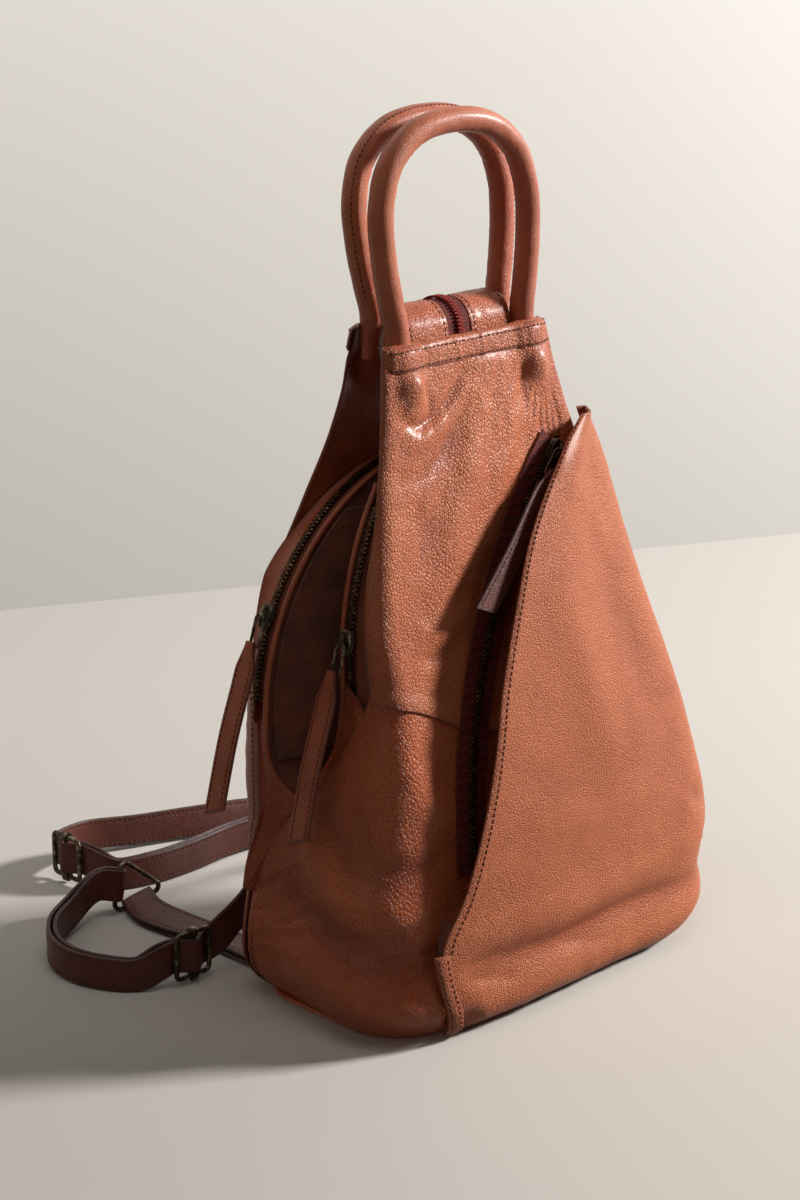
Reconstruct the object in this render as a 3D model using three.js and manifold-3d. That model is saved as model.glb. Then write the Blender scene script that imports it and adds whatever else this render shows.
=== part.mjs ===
// A pyramid-shaped leather backpack with two rolled handles, two zipped pouches either side of an
// open centre pocket, a diagonal zipped front pocket and two adjustable shoulder straps.
// Millimetres, +Z up, the bag stands on z = 0 and its front faces -Y.
import * as THREE from "three";
import { mergeVertices } from "three/addons/utils/BufferGeometryUtils.js";
import Module from "manifold-3d";

// ---------- driving dimensions ----------
const LEATHER = 1.8; // one skin of leather
const GAP = 0.5; // clearance between neighbouring pieces
const HEM_TOP_FRONT = 364;
const HEM_TOP_BACK = 372;
const HEM_HEIGHT = 13;
const BASE_LIFT = 3; // top of the base panel's leather
const SIDE_SEAM_Y = 49; // where the lower wrap meets the back panel, on the side
const HANDLE_RADIUS = 7;
const HANDLE_WALL = 1.7;
const CORE_RADIUS = 4.8;
const HANDLE_RISE = { front: 108, back: 100 }; // pivot to the centre line at the top of each loop
const PIPING_RADIUS = 2;
// Each side zip lies on a circle in an upright plane, x being the circle's centre on the right side
// of the bag. The back pouch's two zips meet over the top; the front pouch's stop near the hem.
const ZIP_BACK = { x: 0, y: 27, z: 170, r: 131, width: 11, from: 4, to: 88.5, rest: 24, swing: 6 };
const ZIP_FRONT = { x: -74.9, y: 1, z: 203, r: 172, width: -9, from: -5, to: 28, rest: 3.4, swing: -13 };
const TAPE = 0.9;
const CHAIN_WIDTH = 5.5;
const CHAIN_THICKNESS = 1.6;
const STRAP_WIDTH = 20;
const STRAP_THICKNESS = 2.4;
const TOP_STRAP_INNER = 9; // half the gap in which the top zip lies
const TOP_STRAP_OUTER = 40;
const PULL = { length: 97, width: 14, thickness: 3.2 };
const FRONT_SLOPE = 0.217; // how far the front face leans back for each millimetre of height

// Side profiles: [height, value], joined by a smooth curve.
const FRONT_Y = profile([[0, -64], [20, -69], [75, -59], [125, -48], [300, -10], [364, 3.5]]);
const BACK_Y = profile([[0, 62], [30, 69], [80, 67], [150, 62], [300, 44], [372, 33]]);
const FRONT_HALF = profile([
  [0, 122], [25, 131], [75, 127], [125, 112], [173, 99], [195, 99],
  [227, 97], [267, 88], [290, 83], [307, 78], [337, 70], [364, 64],
]);
const BACK_HALF = profile([
  [0, 124], [22, 133], [70, 127], [166, 127], [229, 116], [280, 94], [316, 77], [372, 62],
]);
const FRONT_CORNER = profile([[0, 40], [90, 34], [170, 16], [227, 12], [307, 8], [364, 3]]);
const BACK_CORNER = profile([[0, 38], [110, 30], [230, 16], [372, 10]]);

// ---------- helpers ----------
const V = (x, y, z) => new THREE.Vector3(x, y, z);

// A smooth function through [position, value] pairs.
function profile(pairs) {
  const slope = (i) => {
    const a = pairs[Math.max(0, i - 1)];
    const b = pairs[Math.min(pairs.length - 1, i + 1)];
    return (b[1] - a[1]) / (b[0] - a[0]);
  };
  return (at) => {
    const i = Math.max(0, Math.min(pairs.length - 2, pairs.findIndex((p) => p[0] > at) - 1));
    const last = at >= pairs[pairs.length - 1][0];
    const k = last ? pairs.length - 2 : i;
    const [p, q] = [pairs[k], pairs[k + 1]];
    const h = q[0] - p[0];
    const t = Math.max(0, Math.min(1, (at - p[0]) / h));
    const [t2, t3] = [t * t, t * t * t];
    return (
      (2 * t3 - 3 * t2 + 1) * p[1] +
      (t3 - 2 * t2 + t) * h * slope(k) +
      (3 * t2 - 2 * t3) * q[1] +
      (t3 - t2) * h * slope(k + 1)
    );
  };
}

// A geometry from points and faces, turned so that it faces outwards.
function solid(points, faces) {
  let volume = 0;
  for (const [a, b, c] of faces) {
    volume += points[a].dot(points[b].clone().cross(points[c]));
  }
  const turned = volume < 0 ? faces.map(([a, b, c]) => [a, c, b]) : faces;
  const geometry = new THREE.BufferGeometry().setFromPoints(points);
  geometry.setIndex(turned.flat());
  return geometry;
}

// A sheet with a thickness: rows of points are its middle surface.
function sheet(rows, thickness) {
  const [m, n] = [rows.length, rows[0].length];
  const points = [];
  for (const side of [0.5, -0.5]) {
    for (let i = 0; i < m; i++) {
      for (let j = 0; j < n; j++) {
        const down = rows[Math.min(m - 1, i + 1)][j].clone().sub(rows[Math.max(0, i - 1)][j]);
        const along = rows[i][Math.min(n - 1, j + 1)].clone().sub(rows[i][Math.max(0, j - 1)]);
        const normal = down.cross(along).normalize();
        points.push(rows[i][j].clone().addScaledVector(normal, side * thickness));
      }
    }
  }
  const faces = [];
  const quad = (a, b, c, d) => faces.push([a, b, c], [a, c, d]);
  const at = (s, i, j) => s * m * n + i * n + j;
  for (let i = 0; i < m - 1; i++) {
    for (let j = 0; j < n - 1; j++) {
      quad(at(0, i, j), at(0, i, j + 1), at(0, i + 1, j + 1), at(0, i + 1, j));
      quad(at(1, i, j), at(1, i + 1, j), at(1, i + 1, j + 1), at(1, i, j + 1));
    }
  }
  for (let i = 0; i < m - 1; i++) {
    quad(at(0, i, 0), at(0, i + 1, 0), at(1, i + 1, 0), at(1, i, 0));
    quad(at(0, i, n - 1), at(1, i, n - 1), at(1, i + 1, n - 1), at(0, i + 1, n - 1));
  }
  for (let j = 0; j < n - 1; j++) {
    quad(at(0, 0, j), at(1, 0, j), at(1, 0, j + 1), at(0, 0, j + 1));
    quad(at(0, m - 1, j), at(0, m - 1, j + 1), at(1, m - 1, j + 1), at(1, m - 1, j));
  }
  return solid(points, faces);
}

// count + 1 values from a to b.
const steps = (a, b, count) => Array.from({ length: count + 1 }, (_, i) => a + ((b - a) * i) / count);

// A flat strap along a curve. width(t) is the direction across it.
function ribbon(curve, width, count, across = STRAP_WIDTH, thickness = STRAP_THICKNESS) {
  const rows = steps(0, 1, count).map((t) => {
    const p = curve.getPointAt(t);
    const tangent = curve.getTangentAt(t);
    const w = width(t);
    w.addScaledVector(tangent, -w.dot(tangent)).setLength(across / 2);
    return [p.clone().sub(w), p.clone().add(w)];
  });
  return sheet(rows, thickness);
}

// A round bar, or a tube if it has a bore, along a curve.
function rod(curve, radius, count, sides = 8, bore = 0) {
  const circle = (r, Kind) => new Kind().setFromPoints(
    steps(0, 1, sides).slice(0, sides).map((t) => {
      const a = t * 2 * Math.PI;
      return new THREE.Vector2(r * Math.cos(a), r * Math.sin(a));
    }),
  );
  const section = circle(radius, THREE.Shape);
  if (bore) section.holes.push(circle(bore, THREE.Path));
  return new THREE.ExtrudeGeometry(section, { steps: count, extrudePath: curve });
}

const spline = (points) => new THREE.CatmullRomCurve3(points.map((p) => V(...p)), false, "centripetal");

// A flat ring: a rounded outline with a hole, cut from plate, centred on its middle plane.
function plateRing(outline, hole, thickness) {
  const shape = outline(THREE.Shape);
  shape.holes.push(hole(THREE.Path));
  const geometry = new THREE.ExtrudeGeometry(shape, {
    depth: thickness,
    bevelEnabled: false,
    curveSegments: 4,
  });
  return geometry.translate(0, 0, -thickness / 2);
}

function roundedRectangle(width, height, radius) {
  return (Kind) => {
    const [a, b] = [width / 2, height / 2];
    const path = new Kind();
    path.moveTo(-a + radius, -b);
    path.lineTo(a - radius, -b);
    path.absarc(a - radius, -b + radius, radius, -Math.PI / 2, 0);
    path.lineTo(a, b - radius);
    path.absarc(a - radius, b - radius, radius, 0, Math.PI / 2);
    path.lineTo(-a + radius, b);
    path.absarc(-a + radius, b - radius, radius, Math.PI / 2, Math.PI);
    path.lineTo(-a, -b + radius);
    path.absarc(-a + radius, -b + radius, radius, Math.PI, 1.5 * Math.PI);
    return path;
  };
}

// A triangle with round corners of one radius, point up, of a given side before rounding.
function roundedTriangle(side, radius) {
  return (Kind) => {
    const path = new Kind();
    const corner = side / Math.sqrt(3) - 2 * radius;
    for (const k of [0, 1, 2]) {
      const a = Math.PI / 2 + (k * 2 * Math.PI) / 3;
      const [x, y] = [corner * Math.cos(a), corner * Math.sin(a)];
      const [first, last] = [a - Math.PI / 3, a + Math.PI / 3];
      path[k ? "lineTo" : "moveTo"](x + radius * Math.cos(first), y + radius * Math.sin(first));
      path.absarc(x, y, radius, first, last);
    }
    path.closePath();
    return path;
  };
}

const bag = new THREE.Group();

function leather(color, roughness = 0.55) {
  return new THREE.MeshStandardMaterial({ color, roughness, metalness: 0 });
}
const TAN = leather(0xa9572b);
const LINING = leather(0x7a3c1c, 0.75);
const STRAP = leather(0x7c3a1e);
const TAPE_CLOTH = new THREE.MeshStandardMaterial({ color: 0xa33a1a, roughness: 0.85, metalness: 0 });
const BRASS = new THREE.MeshStandardMaterial({ color: 0x5d5548, roughness: 0.4, metalness: 0.9 });
const CORD = new THREE.MeshStandardMaterial({ color: 0xd8cdb8, roughness: 0.9, metalness: 0 });
const BOARD = new THREE.MeshStandardMaterial({ color: 0x6b5a48, roughness: 0.9, metalness: 0 });

function add(name, geometry, material, parent = bag) {
  const mesh = new THREE.Mesh(geometry, material);
  mesh.name = name;
  parent.add(mesh);
  return mesh;
}

// ---------- shell ----------
// Degrees that the front panel rolls round its sides.
const FRONT_SWEEP = profile([[0, 80], [240, 78], [290, 50], [364, 60]]);

// One level of the front panel, from its left edge to its right edge.
function frontLevel(z, s, inset = 0) {
  const [half, y, r] = [FRONT_HALF(z) - inset, FRONT_Y(z) + inset, FRONT_CORNER(z)];
  const arc = (r * FRONT_SWEEP(z) * Math.PI) / 180;
  const total = 2 * arc + 2 * (half - r);
  const d = Math.abs(s) * (total / 2) - (half - r);
  if (d <= 0) return V(Math.sign(s) * (d + half - r), y, z);
  const a = d / r;
  return V(Math.sign(s) * (half - r + r * Math.sin(a)), y + r - r * Math.cos(a), z);
}

// The yoke seam between the upper and the lower front panel dips away from the left edge.
const yokeSeam = profile([[-1, 190], [-0.72, 180], [-0.35, 162], [0.1, 156], [1, 170]]);

// The front panel and the lower wrap share these columns, so that they part cleanly at the seam.
const COLUMNS = steps(-1, 1, 18);

function frontUpper() {
  return sheet(
    steps(0, 1, 9).map((v) =>
      COLUMNS.map((s) => {
        const bottom = yokeSeam(s) + GAP;
        return frontLevel(bottom + v * (HEM_TOP_FRONT - bottom), s, LEATHER / 2);
      }),
    ),
    LEATHER,
  );
}
add("front_panel_upper", frontUpper(), TAN);

// The back panel rolls round both sides to the side seams below and to the zipped arch above.
const backEdgeY = profile([
  [0, 51.5], [62, 51.5], [80, 49], [98, 42], [112, 37], [130, 36],
  [165, 37], [185, 43], [215, 46], [250, 47], [300, 42], [372, 31],
]);
function backLevel(z, s) {
  const [half, y, r] = [BACK_HALF(z) - LEATHER / 2, BACK_Y(z) - LEATHER / 2, BACK_CORNER(z)];
  const room = y - backEdgeY(z) - GAP;
  const leg = Math.max(0, room - r);
  const sweep = leg > 0 ? Math.PI / 2 : Math.acos(Math.max(-1, Math.min(1, 1 - room / r)));
  const arc = r * sweep;
  const flat = half - r;
  const d = Math.abs(s) * (flat + arc + leg) - flat;
  const side = Math.sign(s);
  if (d <= 0) return V(side * (d + flat), y, z);
  if (!leg || d <= arc) {
    return V(side * (flat + r * Math.sin(d / r)), y - r + r * Math.cos(d / r), z);
  }
  return V(side * half, y - r - (d - arc), z);
}
function backPanel() {
  return sheet(
    steps(BASE_LIFT, HEM_TOP_BACK, 16).map((z) => steps(-1, 1, 22).map((s) => backLevel(z, s))),
    LEATHER,
  );
}
add("back_panel", backPanel(), TAN);

// The lower wrap runs from one side seam round the front to the other. Its top edge is the yoke
// seam on the front and sweeps under the centre pocket's opening on the sides.
const wrapTop = profile([[0, 190], [0.2, 158], [0.4, 130], [0.62, 112], [0.8, 92], [1, 62]]);
const SIDE_COLUMNS = steps(0, 1, 8).slice(1);
function wrapPoint(z, s, k) {
  const front = frontLevel(z, s, LEATHER / 2);
  const rear = backLevel(Math.min(z, 80), s).x;
  const y = front.y + (SIDE_SEAM_Y - front.y) * k;
  return V(front.x + (rear - front.x) * k, y, z);
}
function lowerWrap() {
  const columns = [
    ...SIDE_COLUMNS.map((k) => [-1, k]).reverse(),
    ...COLUMNS.map((s) => [s, 0]),
    ...SIDE_COLUMNS.map((k) => [1, k]),
  ];
  return sheet(
    steps(0, 1, 8).map((v) =>
      columns.map(([s, k]) => {
        const top = (k ? Math.min(wrapTop(k), yokeSeam(s)) : yokeSeam(s)) - GAP;
        return wrapPoint(BASE_LIFT + v * (top - BASE_LIFT), s, k);
      }),
    ),
    LEATHER,
  );
}
add("lower_wrap", lowerWrap(), TAN);

// The base: leather outside, a stiff board inside.
function baseOutline(inset) {
  const shape = new THREE.Shape();
  const [w, front, back] = [FRONT_HALF(0) - inset, FRONT_Y(0) + inset, BACK_Y(0) - inset];
  const r = 38 - inset;
  shape.absarc(-w + r, front + r, r, Math.PI, 1.5 * Math.PI);
  shape.absarc(w - r, front + r, r, -Math.PI / 2, 0);
  shape.absarc(w - r, back - r, r, 0, Math.PI / 2);
  shape.absarc(-w + r, back - r, r, Math.PI / 2, Math.PI);
  return shape;
}
const slab = (shape, z, depth) =>
  new THREE.ExtrudeGeometry(shape, { depth, bevelEnabled: false, curveSegments: 5 }).translate(0, 0, z);
add("base_panel", slab(baseOutline(0), 0, BASE_LIFT - 1), TAN);
add("base_board", slab(baseOutline(10), BASE_LIFT - 0.5, 2), BOARD);

// Hems: a folded strip of leather over the top edge of each panel.
function hem(levelPoint, top, out) {
  return sheet(
    [top - HEM_HEIGHT, top - 0.2].map((z) => steps(-0.93, 0.93, 10).map((s) => {
      const p = levelPoint(z, s);
      return p.add(V(0, out, 0));
    })),
    1.2,
  );
}
const HEM_STANDOFF = LEATHER / 2 + 0.6 + GAP;
const hemFlat = (half, y) => (z, s) => V(s * (half(z) - 9), y(z), z);
const frontFace = hemFlat(FRONT_HALF, (z) => FRONT_Y(z) + LEATHER / 2);
const backFace = hemFlat(BACK_HALF, (z) => BACK_Y(z) - LEATHER / 2);
add("hem_front", hem(frontFace, HEM_TOP_FRONT, -HEM_STANDOFF), TAN);
add("hem_back", hem(backFace, HEM_TOP_BACK, HEM_STANDOFF), TAN);

// ---------- pouch walls, side zips, piping ----------
const DEG = Math.PI / 180;
const SIDES = [["left", -1], ["right", 1]];
// A point of a side zip's circle, at an angle above the horizontal.
function onZip(zip, side, angle, y = zip.y, off = 0) {
  const r = zip.r + off;
  return V(side * (zip.x + r * Math.cos(angle)), y, zip.z + r * Math.sin(angle));
}
// The circle's half width at a height.
const zipHalf = (zip, z) => zip.x + Math.sqrt(Math.max(0, zip.r ** 2 - (z - zip.z) ** 2));

const WALL_INSET = PIPING_RADIUS + GAP + 2;
const WALL_BULGE = 6; // each wall leans this far towards the other in the middle of the bag
function pouchWall(zip, low, high, half) {
  const towards = -Math.sign(zip.width);
  return sheet(
    steps(low, high, 10).map((z) =>
      steps(-1, 1, 10).map((s) => {
        const w = Math.min(half(z), zipHalf(zip, z) - WALL_INSET);
        const fade = Math.sin(Math.PI * Math.min(1, (high - z) / (high - low) + 0.1));
        return V(s * w, zip.y + towards * (1.5 + WALL_BULGE * (1 - s * s) * fade), z);
      }),
    ),
    LEATHER,
  );
}
const backWallHalf = profile([[4, 112], [100, 116], [125, 108], [150, 124], [330, 127]]);
add("pouch_wall_back", pouchWall(ZIP_BACK, BASE_LIFT + 3, 288, backWallHalf), LINING);
add("pouch_wall_front", pouchWall(ZIP_FRONT, 130, 342, () => 94), LINING);

// A band that follows a side zip between two distances from the bag's front.
function zipBand(zip, side, yNear, yFar, off, thickness) {
  return sheet(
    steps(zip.from * DEG, zip.to * DEG, 14).map((a) => [
      onZip(zip, side, a, yNear, off),
      onZip(zip, side, a, yFar, off),
    ]),
    thickness,
  );
}
const tapeMiddle = (zip) => zip.y + (zip.width + Math.sign(zip.width) * (PIPING_RADIUS + GAP)) / 2;
const TAPE_OFF = -1; // the tape lies just inside the piping
const CHAIN_OFF = TAPE_OFF + TAPE / 2 + CHAIN_THICKNESS / 2 + 0.3;
for (const [pouch, zip] of [["back", ZIP_BACK], ["front", ZIP_FRONT]]) {
  for (const [name, side] of SIDES) {
    const near = zip.y + Math.sign(zip.width) * (PIPING_RADIUS + GAP);
    const middle = tapeMiddle(zip);
    const tape = zipBand(zip, side, near, zip.y + zip.width, TAPE_OFF, TAPE);
    add(`zip_tape_${pouch}_${name}`, tape, TAPE_CLOTH);
    const [low, high] = [middle - CHAIN_WIDTH / 2, middle + CHAIN_WIDTH / 2];
    const chain = zipBand(zip, side, low, high, CHAIN_OFF, CHAIN_THICKNESS);
    add(`zip_chain_${pouch}_${name}`, chain, BRASS);
  }
}

// Piping edges both pouch walls on each side and joins them in a U under the centre pocket.
function piping(side) {
  const along = (zip, angles) => {
    const y = zip.y + 0.8 * Math.sign(-zip.width);
    return angles.map((a) => onZip(zip, side, a * DEG, y).toArray());
  };
  const under = [
    [131, 26, 152], [126, 23, 135], [117, 15, 124], [108, 6, 134], [101, 3, 152], [97.5, 2, 172],
  ];
  const points = [
    ...along(ZIP_BACK, [84, 66, 48, 30, 14, 0]),
    ...under.map(([x, y, z]) => [side * x, y, z]),
    ...along(ZIP_FRONT, [-4, 5, 14, 23, 32]),
  ];
  return rod(spline(points), PIPING_RADIUS, 40, 6);
}
for (const [name, side] of SIDES) add(`piping_${name}`, piping(side), TAN);

// ---------- front pocket ----------
const LEAN = Math.atan(FRONT_SLOPE);
// A point of the flat front face, stood off by `out` towards the front.
const onFront = (x, z, out) => {
  const y = FRONT_Y(200) + (z - 200) * FRONT_SLOPE;
  return V(x, y - out * Math.cos(LEAN), z + out * Math.sin(LEAN));
};
// The pocket's zip is an arc on the front face, from its top end to its bottom end.
const POCKET_ZIP = { top: [56, 300], bottom: [-57, 92], sagitta: 22 };
const pocketArc = (() => {
  const ends = [POCKET_ZIP.top, POCKET_ZIP.bottom];
  const [a, b] = ends.map(([x, z]) => new THREE.Vector2(x, z / Math.cos(LEAN)));
  const chord = a.clone().sub(b);
  const half = chord.length() / 2;
  const radius = (half ** 2 + POCKET_ZIP.sagitta ** 2) / (2 * POCKET_ZIP.sagitta);
  const left = new THREE.Vector2(-chord.y, chord.x).normalize();
  const centre = a.clone().add(b).multiplyScalar(0.5).addScaledVector(left, POCKET_ZIP.sagitta - radius);
  const angle = (p) => Math.atan2(p.y - centre.y, p.x - centre.x);
  return { centre, radius, from: angle(a), to: angle(b) };
})();
const onPocketArc = (angle, radius, out) =>
  onFront(
    pocketArc.centre.x + radius * Math.cos(angle),
    (pocketArc.centre.y + radius * Math.sin(angle)) * Math.cos(LEAN),
    out,
  );
function pocketBand(width, out, thickness, extra) {
  return sheet(
    steps(pocketArc.from - extra, pocketArc.to + extra, 14).map((a) => [
      onPocketArc(a, pocketArc.radius - width / 2, out),
      onPocketArc(a, pocketArc.radius + width / 2, out),
    ]),
    thickness,
  );
}
add("pocket_zip_tape", pocketBand(22, 1.9, TAPE, 0.02), TAPE_CLOTH);
add("pocket_zip_chain", pocketBand(CHAIN_WIDTH, 3.5, CHAIN_THICKNESS, 0.01), BRASS);

// The pocket panel: its left edge stands open in front of the zip, its right edge rolls round the bag.
const pocketLeft = profile([
  [4, -84], [52, -94], [77, -80], [115, -62], [154, -47],
  [184, -37], [223, -18], [260, 6], [297, 46], [312, 71],
]);
const pocketRight = profile([
  [4, 122], [23, 137], [45, 141], [75, 150], [124, 141], [184, 121], [239, 105], [284, 95], [312, 86],
]);
// How far the left edge stands off, and how far the right edge rolls round the bag.
const pocketLift = profile([
  [4, 3], [30, 4], [52, 7], [90, 16], [150, 23], [230, 24], [290, 17], [312, 10],
]);
const pocketRoll = profile([[0, 1], [200, 1], [235, 0.45], [364, 0.4]]);
const pocketSwell = profile([[4, 5], [30, 8], [75, 17], [150, 20], [230, 16], [290, 9], [312, 7]]);
function pocketPanel() {
  return sheet(
    steps(4, 312, 13).map((z) => {
      const [left, right, y] = [pocketLeft(z), pocketRight(z), FRONT_Y(z)];
      const r = FRONT_CORNER(z);
      const w = right - left;
      const swell = pocketSwell(z);
      const out = (k) => y - 1.5 - k;
      const line = spline([
        [left, out(pocketLift(z)), z],
        [left + 0.3 * w, out(Math.max(swell, 0.93 * pocketLift(z))), z],
        [left + 0.62 * w, out(swell * 0.9), z],
        [right - 0.5 * r - 3, out(swell * 0.3), z],
        [right, y + 0.4 * r * pocketRoll(z), z],
        [Math.max(right - 4, FRONT_HALF(z) + 3), y + (r + 1) * pocketRoll(z), z],
      ]);
      return line.getSpacedPoints(14);
    }),
    LEATHER,
  );
}
add("pocket_panel", pocketPanel(), TAN);

// The folded tab that binds the pocket's left seam to the base.
const BINDING = { width: 9, height: 46, out: 8.4 };
add(
  "pocket_binding",
  sheet(
    steps(5, 5 + BINDING.height, 4).map((z) => {
      const x = pocketLeft(z) - 1;
      const y = FRONT_Y(z) - BINDING.out - pocketLift(z) * 0.3;
      return [-0.5, 0.5].map((k) => V(x + k * BINDING.width, y, z));
    }),
    1.6,
  ),
  TAN,
);

// ---------- zip sliders, bails and leather pulls ----------
// Each is drawn with the zip running along local -Z (down), the slider's back on the chain at x = 0
// and everything standing out along local +X. Local Y is across the zip.
const SLIDER = { length: 13, width: 9, height: 3.4, crown: 2.2 };
function sliderBody() {
  const { length, width, height } = SLIDER;
  const shape = new THREE.Shape();
  shape.moveTo(-width / 2, length / 2);
  shape.lineTo(width / 2, length / 2);
  shape.lineTo(width / 2, length * 0.1);
  shape.lineTo(width * 0.3, -length / 2);
  shape.lineTo(-width * 0.3, -length / 2);
  shape.lineTo(-width / 2, length * 0.1);
  shape.closePath();
  const geometry = new THREE.ExtrudeGeometry(shape, { depth: height, bevelEnabled: false });
  // shape x -> local Y, shape y -> local Z, depth -> local X
  return geometry.applyMatrix4(new THREE.Matrix4().makeBasis(V(0, 1, 0), V(0, 0, 1), V(1, 0, 0)));
}
const BAIL = { length: 20, width: 8, wire: 1.7 };
const BAIL_TILT = 4 * DEG;
function bailRing() {
  const outline = roundedRectangle(BAIL.width, BAIL.length, 3.9);
  const hole = roundedRectangle(BAIL.width - 2 * BAIL.wire, BAIL.length - 2 * BAIL.wire, 2.2);
  const geometry = plateRing(outline, hole, BAIL.wire);
  geometry.applyMatrix4(new THREE.Matrix4().makeBasis(V(0, 1, 0), V(0, 0, 1), V(1, 0, 0)));
  return geometry.translate(0, 0, -BAIL.length / 2 + 1);
}
// The pull is a strip of leather folded through the bail, its tip cut on a slant.
function pullStrip() {
  const { length, width, thickness } = PULL;
  const top = -BAIL.length + 3;
  const shape = new THREE.Shape();
  shape.moveTo(-2, top);
  shape.lineTo(2, top);
  shape.lineTo(width / 2, top - 14);
  shape.lineTo(width / 2, top - length + 6);
  shape.lineTo(-width / 2, top - length);
  shape.lineTo(-width / 2, top - 14);
  shape.closePath();
  const geometry = new THREE.ExtrudeGeometry(shape, { depth: thickness, bevelEnabled: false });
  geometry.applyMatrix4(new THREE.Matrix4().makeBasis(V(0, 1, 0), V(0, 0, 1), V(1, 0, 0)));
  return geometry.translate(-thickness / 2, 0, 0);
}
// A slider with its bail and pull. `frame` places the zip's local axes, `swing` turns the pull away.
function zipPull(name, frame, swing) {
  const group = new THREE.Group();
  group.applyMatrix4(frame);
  bag.add(group);
  add(`slider_${name}`, sliderBody(), BRASS, group);
  const hanging = new THREE.Group();
  hanging.position.set(SLIDER.height + SLIDER.crown, 0, 0);
  hanging.rotation.y = swing;
  group.add(hanging);
  add(`bail_${name}`, bailRing(), BRASS, hanging);
  const strip = new THREE.Group();
  strip.position.set(BAIL.wire / 2 + PULL.thickness / 2 + 0.4, 0, 2);
  hanging.add(strip);
  add(`pull_${name}`, pullStrip(), TAN, strip);
}
// The local frame of a slider resting on a side zip.
function sideZipFrame(zip, side) {
  const angle = zip.rest * DEG;
  const out = V(side * Math.cos(angle), 0, Math.sin(angle));
  const up = V(-side * Math.sin(angle), 0, Math.cos(angle));
  const at = onZip(zip, side, angle, tapeMiddle(zip), CHAIN_OFF + CHAIN_THICKNESS / 2 + 0.5);
  return new THREE.Matrix4().makeBasis(out, up.clone().cross(out), up).setPosition(at);
}
for (const [pouch, zip] of [["back", ZIP_BACK], ["front", ZIP_FRONT]]) {
  for (const [name, side] of SIDES) {
    zipPull(`${pouch}_${name}`, sideZipFrame(zip, side), zip.swing * DEG);
  }
}
function pocketFrame(angle) {
  const at = onPocketArc(angle, pocketArc.radius, 4.9);
  const above = onPocketArc(angle - 0.01, pocketArc.radius, 4.9);
  const out = V(0, -Math.cos(LEAN), Math.sin(LEAN));
  const up = above.sub(at).normalize();
  const across = up.clone().cross(out);
  return new THREE.Matrix4().makeBasis(out, across, up).setPosition(at);
}
const POCKET_REST = 0.03; // radians below the zip's top end
zipPull("pocket", pocketFrame(pocketArc.from + POCKET_REST), -1 * DEG);

// ---------- handles ----------
const HANDLE_PIVOT = {
  front: { y: 9, z: HEM_TOP_FRONT + HANDLE_RADIUS + 0.6 },
  back: { y: 27.5, z: HEM_TOP_BACK + HANDLE_RADIUS + 0.6 },
};
const HANDLE_LEAN = { front: 0.03, back: 0.06 };
const HANDLE_DRIFT = -4; // the loops lean a little to the left at the top
function handleCurve(side) {
  const { y, z } = HANDLE_PIVOT[side];
  const rise = HANDLE_RISE[side];
  // Half widths of the loop at parts of its rise.
  const half = [[49, 0], [52.5, 0.167], [56, 0.389], [56, 0.611], [48, 0.815], [29, 0.954], [0, 1]];
  const right = half.map(([x, part]) => [x, part * rise]);
  const left = half.slice(0, -1).map(([x, part]) => [-x, part * rise]);
  const place = ([x, h]) => [x + (HANDLE_DRIFT * h) / rise, y + HANDLE_LEAN[side] * h, z + h];
  return spline([...left, ...right.reverse()].map(place));
}
for (const side of ["front", "back"]) {
  const curve = handleCurve(side);
  add(`handle_${side}`, rod(curve, HANDLE_RADIUS, 28, 10, HANDLE_RADIUS - HANDLE_WALL), TAN);
  add(`handle_core_${side}`, rod(curve, CORE_RADIUS, 28, 6), CORD);
}

// ---------- top strap ----------
// Two halves joined by a zip, from the front hem over the top and down the back.
const SPLIT_Z = 262; // the two halves part here
const alongBack = (z, out) => [0, BACK_Y(z) + out, z];
const TOP_ROUTE = [
  [0, 9.2, 350], [0, 9.4, 362], [0, 12, 373], [0, 19, 380], [0, 28.5, 380.5], [0, 36.6, 376], [0, 39.4, 367],
  ...[355, 340, 320, 300, 280, SPLIT_Z].map((z) => alongBack(z, 4.4)),
];
const HALF_WIDTH = TOP_STRAP_OUTER - TOP_STRAP_INNER;
const topCurve = (x) => spline(TOP_ROUTE.map(([, y, z]) => [x, y, z]));
const acrossX = () => V(1, 0, 0);
for (const [name, side] of [["left", -1], ["right", 1]]) {
  const x = side * (TOP_STRAP_INNER + HALF_WIDTH / 2);
  add(`top_strap_${name}`, ribbon(topCurve(x), acrossX, 26, HALF_WIDTH, LEATHER), TAN);
}
const TOP_TAPE_WIDTH = 2 * TOP_STRAP_INNER - 2 * GAP;
add("top_zip_tape", ribbon(topCurve(0), acrossX, 26, TOP_TAPE_WIDTH, TAPE), TAPE_CLOTH);
const chainRoute = spline(TOP_ROUTE.map(([, y, z], i) => {
  const next = TOP_ROUTE[Math.min(i + 1, TOP_ROUTE.length - 1)];
  const last = TOP_ROUTE[Math.max(i - 1, 0)];
  const along = new THREE.Vector2(next[1] - last[1], next[2] - last[2]).normalize();
  const off = TAPE / 2 + CHAIN_THICKNESS / 2 + 0.5;
  return [0, y - along.y * off, z + along.x * off];
}));
add("top_zip_chain", ribbon(chainRoute, acrossX, 26, CHAIN_WIDTH, CHAIN_THICKNESS), BRASS);
const BACK_LEAN = Math.atan((BACK_Y(320) - BACK_Y(270)) / 50);
const TOP_SLIDER_Z = 278;
zipPull("top", new THREE.Matrix4().makeBasis(
  V(0, Math.cos(BACK_LEAN), -Math.sin(BACK_LEAN)),
  V(-1, 0, 0),
  V(0, Math.sin(BACK_LEAN), Math.cos(BACK_LEAN)),
).setPosition(V(0, BACK_Y(TOP_SLIDER_Z) + 7.4, TOP_SLIDER_Z)), 0);

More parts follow.
